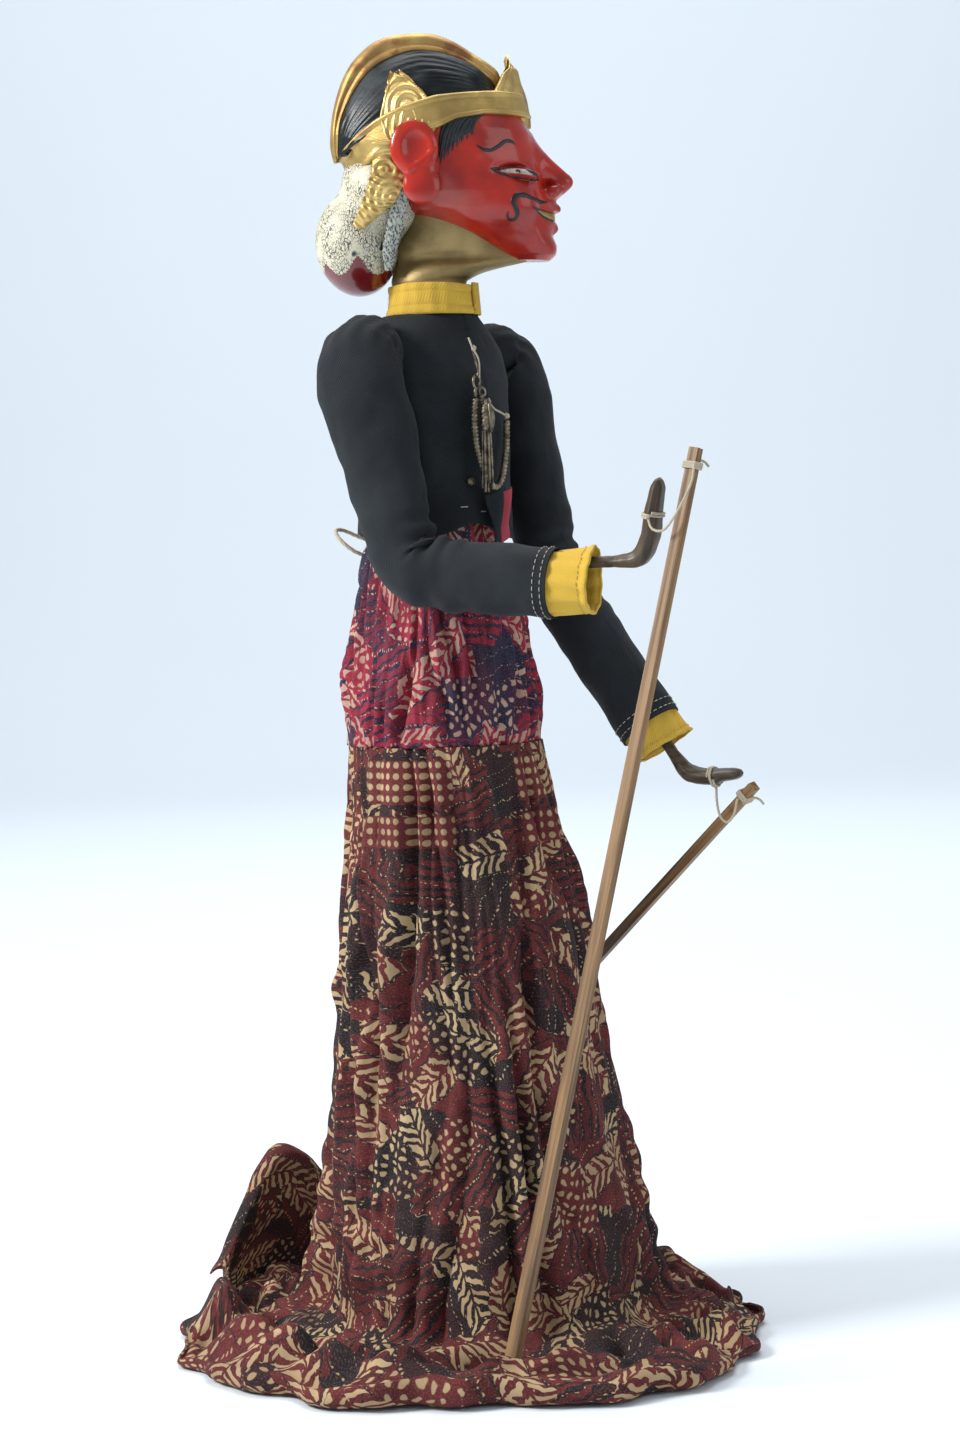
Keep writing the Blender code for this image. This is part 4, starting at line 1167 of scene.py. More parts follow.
def make_bun(looks):
    """The bun of hair at the nape, painted dark red below a wavy edge."""
    step = 0.85
    bun = solid_from("hair_bun", bun_field, (-62, -32, 524), (2, 32, 610), step, looks["hair"])
    bun.data.materials.append(looks["dark_red"])
    spot = head_centres(bun)
    edge = 540.0 + 3.2 * np.sin(spot[:, 0] * 0.33 + 1.0) + 2.0 * np.sin(spot[:, 1] * 0.42)
    edge += 5.5 * hump(spot[:, 0], -38.0, 7.0)
    bun.data.polygons.foreach_set("material_index", (spot[:, 2] < edge).astype(int))
    return bun


def both_sides(name, make, look):
    return joined(name, [make(side, look) for side in (-1, 1)])


def make_headdress(looks):
    """The crown with its band and leaf ornaments, and the hair below it."""
    count = 110
    outer = smooth_path(CROWN_OUTER, count)
    inner = smooth_path(CROWN_INNER, count)
    foot = smooth_path(CROWN_FOOT, count)
    ends = 0.30 * wave(np.abs(np.linspace(-1, 1, count)), 0.8, 1.0)
    rim = make_rim(looks["rim"], outer, inner, ends)
    panels = make_panels(looks["black"], inner, foot, ends)
    band = make_band(looks["gold"])
    front = make_front_leaf(looks["leaf"])
    leaves = both_sides("ear_leaves", make_ear_leaf, looks["leaf"])
    behind = both_sides("behind_ear_ornaments", make_behind_ear, looks["leaf"])
    bun = make_bun(looks)
    nape = both_sides("nape_strips", make_nape_strip, looks["grey"])
    for obj in (rim, panels, band, front, leaves, behind):
        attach(obj, "head_rod")
    for obj in (bun, nape):
        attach(obj, "head_rod")
    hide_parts("headdress")


def head_centres(obj):
    """Each face's middle in head millimetres."""
    centres = np.array([face.center for face in obj.data.polygons])
    back = turned(centres, -HEAD_YAW) * 1000
    return np.stack([-back[:, 1], back[:, 0], back[:, 2]], -1)


def carved(name, rows, columns, shape, relief, side, look, thickness=0.0022):
    """A carved leaf: shape(across, down) gives head millimetres, relief the carving's depth there."""
    across, down = np.meshgrid(np.linspace(-1, 1, columns), np.linspace(0, 1, rows))
    u, s, z, out = shape(across, down)
    depth = relief(across, down, u, z)
    points = np.stack([u + out[0] * depth, s + out[1] * depth, z], -1)
    points[..., 1] *= side
    return cloth(name, head_space(points)[:, ::-side], look, closed=False, thickness=thickness)


def make_front_leaf(look):
    def shape(across, down):
        z = 646.0 - 35.0 * down
        width = np.interp(down, (0, 0.08, 0.25, 0.5, 0.8, 1.0), (0.3, 6.0, 14.0, 20.0, 21.5, 20.5))
        front = np.interp(down, (0, 0.17, 0.5, 0.82, 1.0), (41.0, 45.8, 49.2, 52.0, 51.6))
        s = -across * width
        u = front - 15.0 * (np.abs(s) / 20.0) ** 1.7
        return u, s, z, (1.0, 0.0)

    def relief(across, down, u, z):
        grooves = np.sin(across * 15.0 + 0.7 * np.sin(down * 14.0)) * 0.65
        border = 0.8 * wave(np.abs(across), 0.80, 0.92)
        return grooves * wave(down, 0.05, 0.2) * (1 - wave(np.abs(across), 0.75, 0.85)) + border

    return carved("front_leaf", 80, 90, shape, relief, -1, look)


def make_ear_leaf(side, look):
    def shape(across, down):
        z = 637.0 - 36.0 * down
        left = np.interp(down, (0, 0.12, 0.35, 0.62, 0.85, 1.0), (-15.9, -18.6, -21.4, -23.6, -22.0, -19.0))
        right = np.interp(down, (0, 0.12, 0.30, 0.48, 0.75, 1.0), (-15.1, -9.0, -2.0, 3.4, 4.4, 1.0))
        u = (left + right) / 2 + across * (right - left) / 2
        s = dome_half(u, np.minimum(z, 632.0)) * np.where(z > 632, 1 - (z - 632) * 0.012, 1) + 1.6
        s = np.maximum(s, 22.0) + 1.1 * (1 - across**2)
        return u, s, z, (0.0, 1.0)

    def relief(across, down, u, z):
        swirl = np.hypot(u + 9.0, (z - 612.0) * 0.55)
        waves = np.sin(swirl * 1.9 + 1.1 * np.sin(z * 0.34) + across * 2.0)
        border = 0.7 * wave(np.abs(across), 0.84, 0.95)
        return 0.55 * waves * (1 - 0.7 * wave(np.abs(across), 0.8, 0.9)) + border

    return carved("ear_leaf", 110, 80, shape, relief, side, look)


def make_behind_ear(side, look):
    def shape(across, down):
        z = 602.0 - 41.0 * down
        left = np.interp(down, (0, 0.25, 0.5, 0.8, 1.0), (-28.0, -28.0, -30.5, -36.0, -40.0))
        right = np.interp(down, (0, 0.25, 0.5, 0.7, 1.0), (-15.0, -14.0, -12.5, -17.0, -33.0))
        u = (left + right) / 2 + across * (right - left) / 2
        s = np.interp(z, (556.0, 566.0, 580.0, 592.0, 604.0), (19.8, 24.2, 28.2, 30.4, 32.4))
        s = s + 1.4 - 0.012 * (u + 20.0) ** 2 + 0.8 * (1 - across**2)
        return u, s, z, (0.0, 1.0)

    def relief(across, down, u, z):
        curls = np.sin(np.hypot(u + 22.0, (z - 589.0)) * 1.5 + np.sin(z * 0.5))
        curls += 0.6 * np.sin(np.hypot(u + 18.0, z - 575.0) * 1.7)
        return 0.5 * curls

    return carved("behind_ear", 90, 50, shape, relief, side, look)


def make_nape_strip(side, look):
    def shape(across, down):
        z = 580.0 - 40.0 * down
        middle = np.interp(down, (0, 0.3, 0.7, 1.0), (-12.5, -16.5, -20.5, -22.0))
        u = middle + across * np.interp(down, (0, 0.2, 0.8, 1.0), (2.4, 4.2, 3.6, 1.5))
        s = np.interp(z, (538.0, 550.0, 565.0, 582.0), (15.2, 19.2, 23.6, 27.6))
        s = s + 1.2 - 0.05 * (u - middle) ** 2
        return u, s, z, (0.0, 1.0)

    def relief(across, down, u, z):
        return 0.3 * np.sin(u * 2.6 + z * 1.4)

    return carved("nape", 60, 16, shape, relief, side, look, 0.003)


# ---------------------------------------------------------------- skirt

# where the first and last columns of a skirt meet, on the side away from the camera
BACK_SEAM = math.radians(215) + math.pi
SKIRT_WALL = np.array((
    # height, distance from the middle
    (WAIST_SEAM, 0.0487), (0.2730, 0.0505), (0.2220, 0.0594), (0.1700, 0.0645), (0.1190, 0.0714),
    (0.0670, 0.0803), (0.0306, 0.0860),
))
POOL_START = 0.0306


def skirt_middle(height):
    lean = 0.0118 * np.maximum(0.0, 1 - (height / WAIST_SEAM) ** 2)
    return lean * math.cos(math.radians(-55)), lean * math.sin(math.radians(-55))


def pool_edge(turn):
    def notch(middle, width):
        return hump(wrapped(turn - middle), 0.0, width)

    return (
        0.148
        + 0.026 * np.cos(turn + math.radians(165))
        + 0.007 * np.sin(3 * turn + 0.6)
        + 0.005 * np.sin(5 * turn - 0.8)
        + 0.016 * notch(math.radians(-162), 0.22)
        + 0.016 * np.cos(turn + math.radians(55))
    )


def gathers(turn, down, count, seed, widths, depths, drift, fade):
    """The sum of many soft ridges and valleys running down a gathered cloth, in metres."""
    random = np.random.default_rng(seed)
    total = np.zeros(np.broadcast(turn, down).shape)
    for k in range(count):
        middle = math.tau * (k + random.uniform(-0.4, 0.4)) / count
        lean = random.uniform(-drift, drift)
        width = random.uniform(*widths)
        depth = random.uniform(*depths) * (1 if k % 2 else -0.8)
        start = random.uniform(-0.15, 0.35) if k % 3 else -0.1
        end = random.uniform(0.55, 1.3)
        away = wrapped(turn - middle - lean * down + 0.05 * np.sin(9 * down + k))
        reach = (
            wave(down, start, start + 0.18) * (1 - wave(down, end - 0.25, end)) * (1 - fade * (1 - down))
        )
        total += depth * hump(away, 0.0, width) * reach
    return total


def pleats(turn, down, count, depths, seed):
    """Long soft folds with sharper valleys that wander and run into one another, in metres."""
    phase = (
        count * turn + 1.7 * np.sin(3 * turn + 2.2 * down + seed)
        + 1.2 * np.sin(5 * turn - 3.4 * down + 1.0)
    )
    phase = phase + 0.5 * np.sin(11 * turn + 7.0 * down)
    depth = depths[0] + (depths[1] - depths[0]) * down
    strength = 0.55 + 0.45 * np.sin(4 * turn + 5.0 * down + seed)
    return depth * strength * (np.abs(np.sin(phase)) ** 0.8 - 0.6)


def skirt_wall(turn, height, folds):
    """The hanging wall of the lower skirt, in level rows."""
    down = np.linspace(0, 1, len(height))
    radius = np.interp(height, SKIRT_WALL[::-1, 0], SKIRT_WALL[::-1, 1])
    slant = 1.6 * np.sin(3 * turn + 1.0) + 1.1 * np.sin(7 * turn)
    strong = 0.35 + 0.65 * np.sin(4 * turn + 2.0) ** 2
    rows = []
    for k, level in enumerate(height):
        middle_x, middle_y = skirt_middle(level)
        reach = radius[k] + folds[k] * (0.35 + 0.65 * wave(down[k], 0.0, 0.12))
        rumple = wave(1 - down[k], 0.48, 0.0)
        reach = reach + 0.0013 * rumple * strong * np.sin(level / 0.0185 * math.tau + slant)
        x, y = middle_x + reach * np.cos(turn), middle_y + reach * np.sin(turn)
        rows.append(np.stack([x, y, np.full(len(turn), level)], -1))
    return rows


def skirt_foot(turn, way, last):
    """The bend from the wall's last row to the pool."""
    middle = np.array(skirt_middle(POOL_START))
    start = np.linalg.norm(last[:, :2] - middle, axis=1)
    rows = []
    for bend in np.linspace(0, math.pi / 2, 11)[1:]:
        reach = start + 0.013 * (1 - math.cos(bend))
        lift = POOL_START - 0.019 * math.sin(bend) + 0.002 * np.sin(6 * turn + 1)
        rows.append(np.column_stack([middle + way * reach[:, None], lift]))
    return rows


def skirt_pool(turn, way, begin):
    """The cloth that lies on the floor, out to its edge, and the roll of its hem."""
    edge = pool_edge(turn) - 0.003 + 0.0025 * np.sin(17 * turn + 1) + 0.0018 * np.sin(29 * turn)
    roll = 0.0042 + 0.0022 * np.sin(2 * turn + 0.4) + 0.0012 * np.sin(9 * turn)
    begin_reach = np.linalg.norm(begin[:, :2], axis=1)
    begin_way = begin[:, :2] / begin_reach[:, None]
    rows = []
    for share in np.linspace(0, 1, 37)[1:]:
        outward = begin_way * (1 - share) + way * share
        outward /= np.linalg.norm(outward, axis=1, keepdims=True)
        reach = begin_reach + (edge - roll - begin_reach) * share
        level = begin[:, 2] * (1 - wave(share, 0.0, 0.35)) + 2 * roll * wave(share, 0.15, 0.9)
        ripple = 0.0030 * np.sin(share * 13 + 2.0 * np.sin(3 * turn) + 2 * turn)
        ripple += 0.0034 * np.sin(19 * turn + 3 * np.sin(4 * turn) + share * 2.5)
        ripple += 0.0014 * np.sin(31 * turn + share * 4)
        arch = abs(math.sin(math.pi * share))
        level = level + ripple * arch**0.7 + 0.002 * arch
        rows.append(np.column_stack([outward * reach[:, None], np.maximum(level, 0.0024)]))
    for bend in np.linspace(0, math.pi * 1.15, 13)[1:]:
        reach = edge - roll + roll * math.sin(bend)
        level = roll * (1 + math.cos(bend)) + 0.0012
        rows.append(np.column_stack([way * reach[:, None], np.maximum(level, 0.0012)]))
    return rows


def make_lower_skirt(look):
    """The gathered lower skirt and the pool of cloth it makes on the floor, in one sheet."""
    columns, wall_rows = 320, 118
    turn = circle(columns, BACK_SEAM)
    way = np.stack([np.cos(turn), np.sin(turn)], -1)
    down = np.linspace(0, 1, wall_rows)[:, None]
    folds = gathers(turn, down, 30, 3, (0.045, 0.105), (0.0018, 0.0045), 0.45, 0.40)
    folds += pleats(turn, down, 12, (0.0095, 0.0155), 0.4)
    folds += gathers(turn, down, 76, 8, (0.018, 0.038), (0.0009, 0.0026), 0.30, -0.25)
    rows = skirt_wall(turn, np.linspace(WAIST_SEAM, POOL_START, wall_rows), folds)
    rows += skirt_foot(turn, way, rows[-1])
    rows += skirt_pool(turn, way, rows[-1])
    points = np.array(rows)
    crumple = rough(points * (1.0, 1.0, 0.8), 0.017, 1) * 0.0013 + rough(points, 0.0065, 2) * 0.00045
    calm = wave(np.arange(len(points)) / 6.0, 0.0, 1.0)[:, None]
    points = pushed(points, crumple * calm)
    points[..., 2] = np.maximum(points[..., 2] + pool_lumps(points), 0.0011)
    step = np.linalg.norm(np.diff(points, axis=0), axis=2).mean(axis=1)
    run = np.concatenate([[0], np.cumsum(step)])
    around = np.linspace(-math.pi, math.pi, columns + 1)
    broad = np.interp(run, (0, 0.10, run[-1]), (0.066, 0.070, 0.125))
    drawn_in = np.zeros((len(run), columns + 1))
    drawn_in[:wall_rows] = 0.2 * np.column_stack([folds, folds[:, :1]])
    fading = np.exp(-np.arange(len(run) - wall_rows) / 8.0)
    drawn_in[wall_rows:] = drawn_in[wall_rows - 1] * fading[:, None]
    uv = sheet_uv(around * broad[:, None] + 0.3 + drawn_in, run)
    skirt = cloth("skirt_lower_cloth", points, look, uv=uv)
    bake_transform(skirt)
    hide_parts("skirt_lower", "skirt_pool")


def pool_lumps(points):
    """Heaps and folds in the pool, higher at the back left of the picture."""
    spots = (
        # x, y, long way, short way, turn of the long way in degrees, height
        (-0.118, 0.050, 0.045, 0.011, 70, 0.012),
        (-0.135, 0.020, 0.040, 0.010, 100, 0.010),
        (-0.105, 0.075, 0.040, 0.010, 40, 0.014),
        (-0.135, -0.030, 0.035, 0.009, 120, 0.009),
        (-0.105, -0.060, 0.040, 0.009, 150, 0.010),
        (-0.060, -0.110, 0.045, 0.010, 170, 0.009),
        (-0.020, -0.125, 0.045, 0.010, 10, 0.008),
        (0.050, -0.115, 0.050, 0.011, 30, 0.008),
        (0.095, -0.075, 0.050, 0.012, 60, 0.010),
        (0.120, -0.020, 0.050, 0.013, 80, 0.010),
        (-0.060, 0.105, 0.040, 0.011, 10, 0.014),
        (0.010, 0.125, 0.045, 0.012, -10, 0.010),
        (0.075, 0.090, 0.040, 0.012, -40, 0.008),
    )
    low = 1 - wave(points[..., 2], 0.020, 0.034)
    total = np.zeros(points.shape[:2])
    for x, y, long_way, short_way, turn, height in spots:
        c, s = math.cos(math.radians(turn)), math.sin(math.radians(turn))
        along = (points[..., 0] - x) * c + (points[..., 1] - y) * s
        across = (points[..., 1] - y) * c - (points[..., 0] - x) * s
        across = across + 0.3 * along**2 / long_way
        total += height * hump(along, 0.0, long_way) * hump(across, 0.0, short_way)
    under = wave(points[..., 2], 0.0012, 0.0045)
    return total * low * under


def make_upper_skirt(look):
    """The crimson upper skirt, gathered on a drawstring under the jacket."""
    columns, count = 280, 78
    turn = circle(columns, BACK_SEAM)
    steps = np.array((
        (WAIST_SEAM, 0.0487, 0.0487), (0.3240, 0.0467, 0.0467), (0.3450, 0.0440, 0.0440),
        (0.3650, 0.0415, 0.0415),
        (0.3850, 0.0385, 0.0380), (0.3985, 0.0362, 0.0340), (0.4045, 0.0340, 0.0308),
        (0.4150, 0.0335, 0.0300),
    ))
    down = np.linspace(0, 1, count)[:, None]
    height = steps[-1, 0] + (steps[0, 0] - steps[-1, 0]) * down
    half_x = np.interp(height, steps[:, 0], steps[:, 1])
    half_y = np.interp(height, steps[:, 0], steps[:, 2])
    folds = gathers(turn, 1 - down * 0.9, 36, 5, (0.035, 0.080), (0.0010, 0.0028), 0.25, 0.1)
    folds += pleats(turn, down, 14, (0.0050, 0.0090), 2.0)
    folds += gathers(turn, 1 - down * 0.9, 84, 6, (0.016, 0.030), (0.0008, 0.0018), 0.15, 0.0)
    folds *= 1 - 0.65 * wave(down, 0.88, 1.0)
    folds += 0.0006 * np.sin(turn * 47) * hump(down, 1.0, 0.05)
    x = (half_x + folds) * np.cos(turn)
    y = (half_y + folds) * np.sin(turn)
    points = np.stack([x, y, np.broadcast_to(height, x.shape)], -1)
    points = turned(points, TORSO_YAW, TORSO_Y / 2)
    crumple = rough(points * (1.0, 1.0, 0.6), 0.011, 4) * 0.0007
    points = pushed(points, crumple * (1 - wave(down, 0.94, 1.0)))
    around = np.linspace(-math.pi, math.pi, columns + 1)
    uv = sheet_uv(around * 0.062 + 0.7, steps[-1, 0] - height[:, 0])
    skirt = cloth("skirt_upper_cloth", points, look, uv=uv)
    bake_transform(skirt)
    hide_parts("skirt_upper")


def make_hem_fold(look):
    """The part of the hem that stands up behind the skirt, folded over at its top edge."""
    columns, count = 90, 60
    turn = np.radians(np.linspace(56, 122, columns))
    rows = []
    top = 0.034 + 0.050 * hump(np.degrees(turn), 80, 17) + 0.006 * np.sin(turn * 9)
    for share in np.linspace(0, 1, count):
        level = top + (0.0045 - top) * share
        reach = 0.1225 + 0.004 * np.sin(turn * 7 + 3 * share) + 0.010 * share**2
        reach = reach + 0.007 * np.cos(share * 2.6) * np.sin(turn * 4.2 + 1.0)
        if share < 0.12:
            curl = (0.12 - share) / 0.12
            reach = reach + 0.007 * curl
            level = level - 0.006 * curl**2
        rows.append(np.stack([reach * np.cos(turn), reach * np.sin(turn), level], -1))
    points = np.array(rows)
    crumple = rough(points, 0.014, 5) * 0.0013
    points = pushed(points, crumple, False)
    points[..., 2] = np.maximum(points[..., 2], 0.002)
    uv = sheet_uv(np.linspace(0, 0.15, columns), np.linspace(0.40, 0.30, count))
    fold = cloth("hem_fold_cloth", points, look, closed=False, uv=uv, thickness=0.001)
    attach(fold, "base")
    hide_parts("hem_fold")


# ---------------------------------------------------------------- jacket, sleeves, cuffs and collar

JACKET = np.array((
    (JACKET_HEM, 0.0412, 0.0372), (0.4300, 0.0399, 0.0369), (0.4600, 0.0389, 0.0382),
    (0.4830, 0.0389, 0.0376),
    (0.4990, 0.0384, 0.0316), (0.5090, 0.0339, 0.0266), (0.5180, 0.0236, 0.0236),
))
FRONT = math.radians(-90)


def jacket_point(turn, height, out=0.0):
    """A point on the jacket, out metres away from its plain surface."""
    half_x = np.interp(height, JACKET[:, 0], JACKET[:, 1]) + out
    half_y = np.interp(height, JACKET[:, 0], JACKET[:, 2]) + out
    turn, height = np.broadcast_arrays(np.asarray(turn, float), np.asarray(height, float))
    points = np.stack([half_x * np.cos(turn), half_y * np.sin(turn), height], -1)
    return turned(points, TORSO_YAW, TORSO_Y)


def make_jacket(look):
    """The jacket's body, lapped at the front, with its hem dipping there."""
    columns, count = 240, 84
    turn = circle(columns, math.radians(90))
    down = np.linspace(0, 1, count)[:, None]
    height = JACKET[-1, 0] + (JACKET_HEM - JACKET[-1, 0]) * down
    away = wrapped(turn - FRONT)
    hem = 0.0022 * np.sin(turn * 3 + 0.5) + 0.0035 * hump(away, -0.25, 0.30)
    height = height + hem * wave(down, 0.75, 1.0)
    overlap = 0.0010 * wave(away, -0.05, 0.0) * (1 - wave(away, 0.9, 1.3))
    drag = (
        0.0011 * np.sin(away * 9 + height / 0.013) * hump(np.abs(away), 1.2, 0.5)
        * hump(height, 0.465, 0.03)
    )
    points = jacket_point(turn, height, overlap + drag)
    crumple = rough(points * (1.0, 1.0, 0.7), 0.022, 6) * 0.0012 + rough(points, 0.009, 7) * 0.0004
    points = pushed(points, crumple * wave(down, 0.03, 0.12))
    uv = sheet_uv(np.linspace(0, math.tau * 0.039, columns + 1), down[:, 0] * 0.115)
    jacket = cloth("jacket_cloth", points, look, uv=uv, thickness=0.001)
    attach(jacket, "torso")
    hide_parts("jacket_body")


def arm_line(side):
    """The sleeve's middle line from inside the armhole to the cuff, with the way it heads and two
    directions across it: towards the puppet's front, then outwards."""
    shoulder, elbow, knuckle = SHOULDERS[side], ELBOWS[side], KNUCKLES[side]
    upper = unit(elbow - shoulder)
    lower = unit(knuckle - elbow)
    outward = unit(np.array((shoulder[0], shoulder[1] - TORSO_Y, 0.0)))
    droop = unit(upper - lower * upper.dot(lower))
    reach = np.linalg.norm(elbow - shoulder)
    cuff = CUFFS[side][0] + (0.0065 if side == "R" else 0.0045)
    drop = SLEEVE_DROP[side]
    line = [
        shoulder - outward * 0.0250 - UP * 0.0050,
        shoulder - outward * 0.0080 - UP * 0.0010,
        shoulder + upper * 0.0150 + outward * 0.0008,
        shoulder + upper * 0.38 * reach,
        shoulder + upper * 0.64 * reach,
        elbow - upper * 0.0170,
        elbow - droop * 0.0010 + (lower - upper) * 0.0022,
        elbow + lower * 0.0170 + droop * drop * 0.2,
        elbow + lower * 0.5 * cuff + droop * drop * 0.55,
        elbow + lower * cuff + droop * drop,
    ]
    path = smooth_path(line, 170)
    heading = headings(path)
    fore = unit(np.cross(outward, UP) * (1 if side == "R" else -1))
    if fore[1] > 0:
        fore = -fore
    fronts, outs = [], []
    for ahead in heading:
        fore = unit(fore - ahead * fore.dot(ahead))
        fronts.append(fore)
        outs.append(np.cross(ahead, fore))
    return path, heading, np.array(fronts), np.array(outs)


def make_sleeves(side, looks):
    """One creased sleeve, cut into three lengths, and the stitching round its end."""
    path, heading, front, out = arm_line(side)
    rows, columns = len(path), 100
    along = np.arange(rows) * np.linalg.norm(path[1] - path[0])
    share = along / along[-1]
    angles = circle(columns)
    marks = (0, 0.08, 0.2, 0.35, 0.52, 0.60, 0.8, 1.0)
    deep = np.interp(share, marks, (0.0120, 0.0205, 0.0226, 0.0208, 0.0182, 0.0174, 0.0174, 0.0172))
    wide = np.interp(share, marks, (0.0110, 0.0182, 0.0180, 0.0158, 0.0152, 0.0154, 0.0158, 0.0163))
    elbow_row = int(np.argmin(np.linalg.norm(path - ELBOWS[side], axis=1)))
    c, s = np.cos(-angles), np.sin(-angles)
    down, part = along[:, None], share[:, None]
    near = down - along[elbow_row]
    lift = (
        0.0022 * np.sin(down / 0.0105 * math.tau + 0.6) * hump(near, 0.0, 0.022) * np.maximum(0, c) ** 1.5
    )
    lift += 0.0010 * np.sin(down / 0.017 * math.tau) * hump(near, 0.0, 0.03) * np.maximum(0, -c)
    twist = np.sin(down / 0.030 * math.tau + 2.2 * angles + (0.0 if side == "R" else 2.0))
    lift += 0.0004 * twist * wave(part, 0.05, 0.3) * (1 - wave(part, 0.93, 1.0))
    lift += 0.0005 * np.sin(angles * 13) * hump(part, 0.09, 0.04)
    points = (
        path[:, None]
        + front[:, None] * ((deep[:, None] + lift) * c)[..., None]
        + out[:, None] * ((wide[:, None] + lift) * s)[..., None]
    )
    crumple = rough(points, 0.019, 8 if side == "R" else 9) * 0.0012 + rough(points, 0.008, 10) * 0.0004
    crumple -= 0.0016 * hump(part, 0.085, 0.010)
    points = pushed(points, crumple * (1 - wave(part, 0.95, 1.0)))
    uv = sheet_uv(np.linspace(0, math.tau * 0.0175, columns + 1), along)
    first = int(0.17 * rows)
    second = int(0.36 * rows)
    link, upper, fore = f"shoulder_link_{side}", f"upper_arm_{side}", f"forearm_{side}"
    armpit = path[first] - heading[first] * 0.024
    bend = unit(unit(ELBOWS[side] - SHOULDERS[side]) + unit(KNUCKLES[side] - ELBOWS[side])) * 0.017
    parts = (
        # name, rows, the body it hangs from, the body it ends on, where the blend starts and ends
        ("armhole", slice(0, first + 1), "torso", link, armpit, path[first]),
        ("sleeve_top", slice(first, second + 1), link, upper, path[first], path[second]),
        ("sleeve", slice(second, rows), upper, fore, ELBOWS[side] - bend, ELBOWS[side] + bend),
    )
    for name, keep, one, two, start, end in parts:
        obj = cloth(f"{name}_{side}", points, looks["twill"], uv=uv, keep=keep, thickness=0.001)
        keep_normals(obj, points, keep)
        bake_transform(obj)
        if name == "sleeve_top":
            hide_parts(f"sleeve_upper_{side}")
        if name == "sleeve":
            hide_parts(f"sleeve_lower_{side}")
    make_sleeve_stitches(side, points, looks["thread"])


def keep_normals(obj, points, keep):
    """Shades a cut length of sleeve as part of the whole, so that the cuts don't show."""
    normal = grid_normals(points, True)[keep].reshape(-1, 3)
    mesh = obj.data
    every = np.concatenate([normal, -normal])
    mesh.normals_split_custom_set_from_vertices([tuple(n) for n in every])


def stitches(name, line, normals, look, length=0.0022, gap=0.0012, radius=0.00022):
    """A row of short thread stitches along a line of points on a cloth."""
    steps = distances(line)
    made = []
    place = 0.0
    while place + length < steps[-1]:
        share = np.linspace(place, place + length, 5)
        part = np.stack([np.interp(share, steps, line[:, k]) for k in range(3)], -1)
        up = np.stack([np.interp(share, steps, normals[:, k]) for k in range(3)], -1)
        arch = np.sin(np.linspace(0, math.pi, 5))[:, None] * 0.0003
        radii = radius * np.array((0.6, 1.0, 1.0, 1.0, 0.6))
        made.append(tube("stitch", part + up * (arch + 0.00012), radii, look, 5))
        place += length + gap
    return joined(name, made)


def row_stitches(name, points, back, look, *sizes):
    """Stitches right round a closed sheet, on the row that many from its end."""
    normal = grid_normals(points, True)[-back]
    line = points[-back]
    return stitches(name, np.vstack([line, line[:1]]), np.vstack([normal, normal[:1]]), look, *sizes)


def make_sleeve_stitches(side, points, look):
    """The double row of pale stitching round the end of the sleeve."""
    made = joined(f"sleeve_stitches_{side}", [row_stitches("row", points, back, look) for back in (3, 6)])
    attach(made, f"forearm_{side}")


def make_cuff(side, looks):
    """The yellow cuff: a folded band, open and a little crushed."""
    elbow, knuckle = ELBOWS[side], KNUCKLES[side]
    lower = unit(knuckle - elbow)
    upper = unit(SHOULDERS[side] - elbow)
    inside = unit(upper - lower * upper.dot(lower))
    across = np.cross(lower, inside)
    begin, end = CUFFS[side]
    rows, columns = 36, 110
    share = np.linspace(0, 1, rows)
    along = begin - 0.0010 + (end - begin + 0.0010) * share
    angles = circle(columns)
    middle = elbow - inside * SLEEVE_DROP[side]
    points = []
    for t, far in zip(share, along):
        fold = 0.0006 * hump(t, 0.18, 0.05) + 0.0008 * wave(t, 0.86, 0.95)
        dents = 0.0010 * np.sin(3 * angles + 1.1 + 1.5 * t) * t + 0.0005 * np.sin(11 * angles + 4 * t)
        reach_across = 0.0144 + 0.0004 * t + fold + dents
        reach_inside = 0.0154 + fold + dents
        slant = 0.0018 * np.cos(angles - 0.8) * t
        ring = (
            np.outer(reach_across * np.cos(angles), across)
            + np.outer(reach_inside * np.sin(angles), inside)
        )
        points.append(middle + np.outer(far + slant, lower) + ring)
    points = np.array(points)
    outward = points.mean(axis=1, keepdims=True)
    if np.sum(grid_normals(points, True) * (points - outward)) < 0:
        points = points[:, ::-1]
    uv = sheet_uv(np.linspace(0, 0.098, columns + 1), along)
    cuff = cloth(f"cuff_cloth_{side}", points, looks["yellow"], uv=uv, thickness=0.0014)
    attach(cuff, f"forearm_{side}")
    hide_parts(f"cuff_{side}")
    seam = row_stitches(f"cuff_stitches_{side}", points, 7, looks["yellow_thread"], 0.0018, 0.0010, 0.00018)
    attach(seam, f"forearm_{side}")


def collar_ring(turn, share, out=0.0, lift=0.0):
    """Points round the collar at a share of its height, out metres from its surface."""
    low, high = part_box("collar")
    radius = 0.0230 - 0.0010 * share + out
    x = (low.x + high.x) / 2 + radius * np.cos(turn)
    y = (low.y + high.y) / 2 + radius * np.sin(turn)
    z = COLLAR_FOOT + (COLLAR_TOP - COLLAR_FOOT) * share + lift
    return np.stack(np.broadcast_arrays(x, y, z), -1)


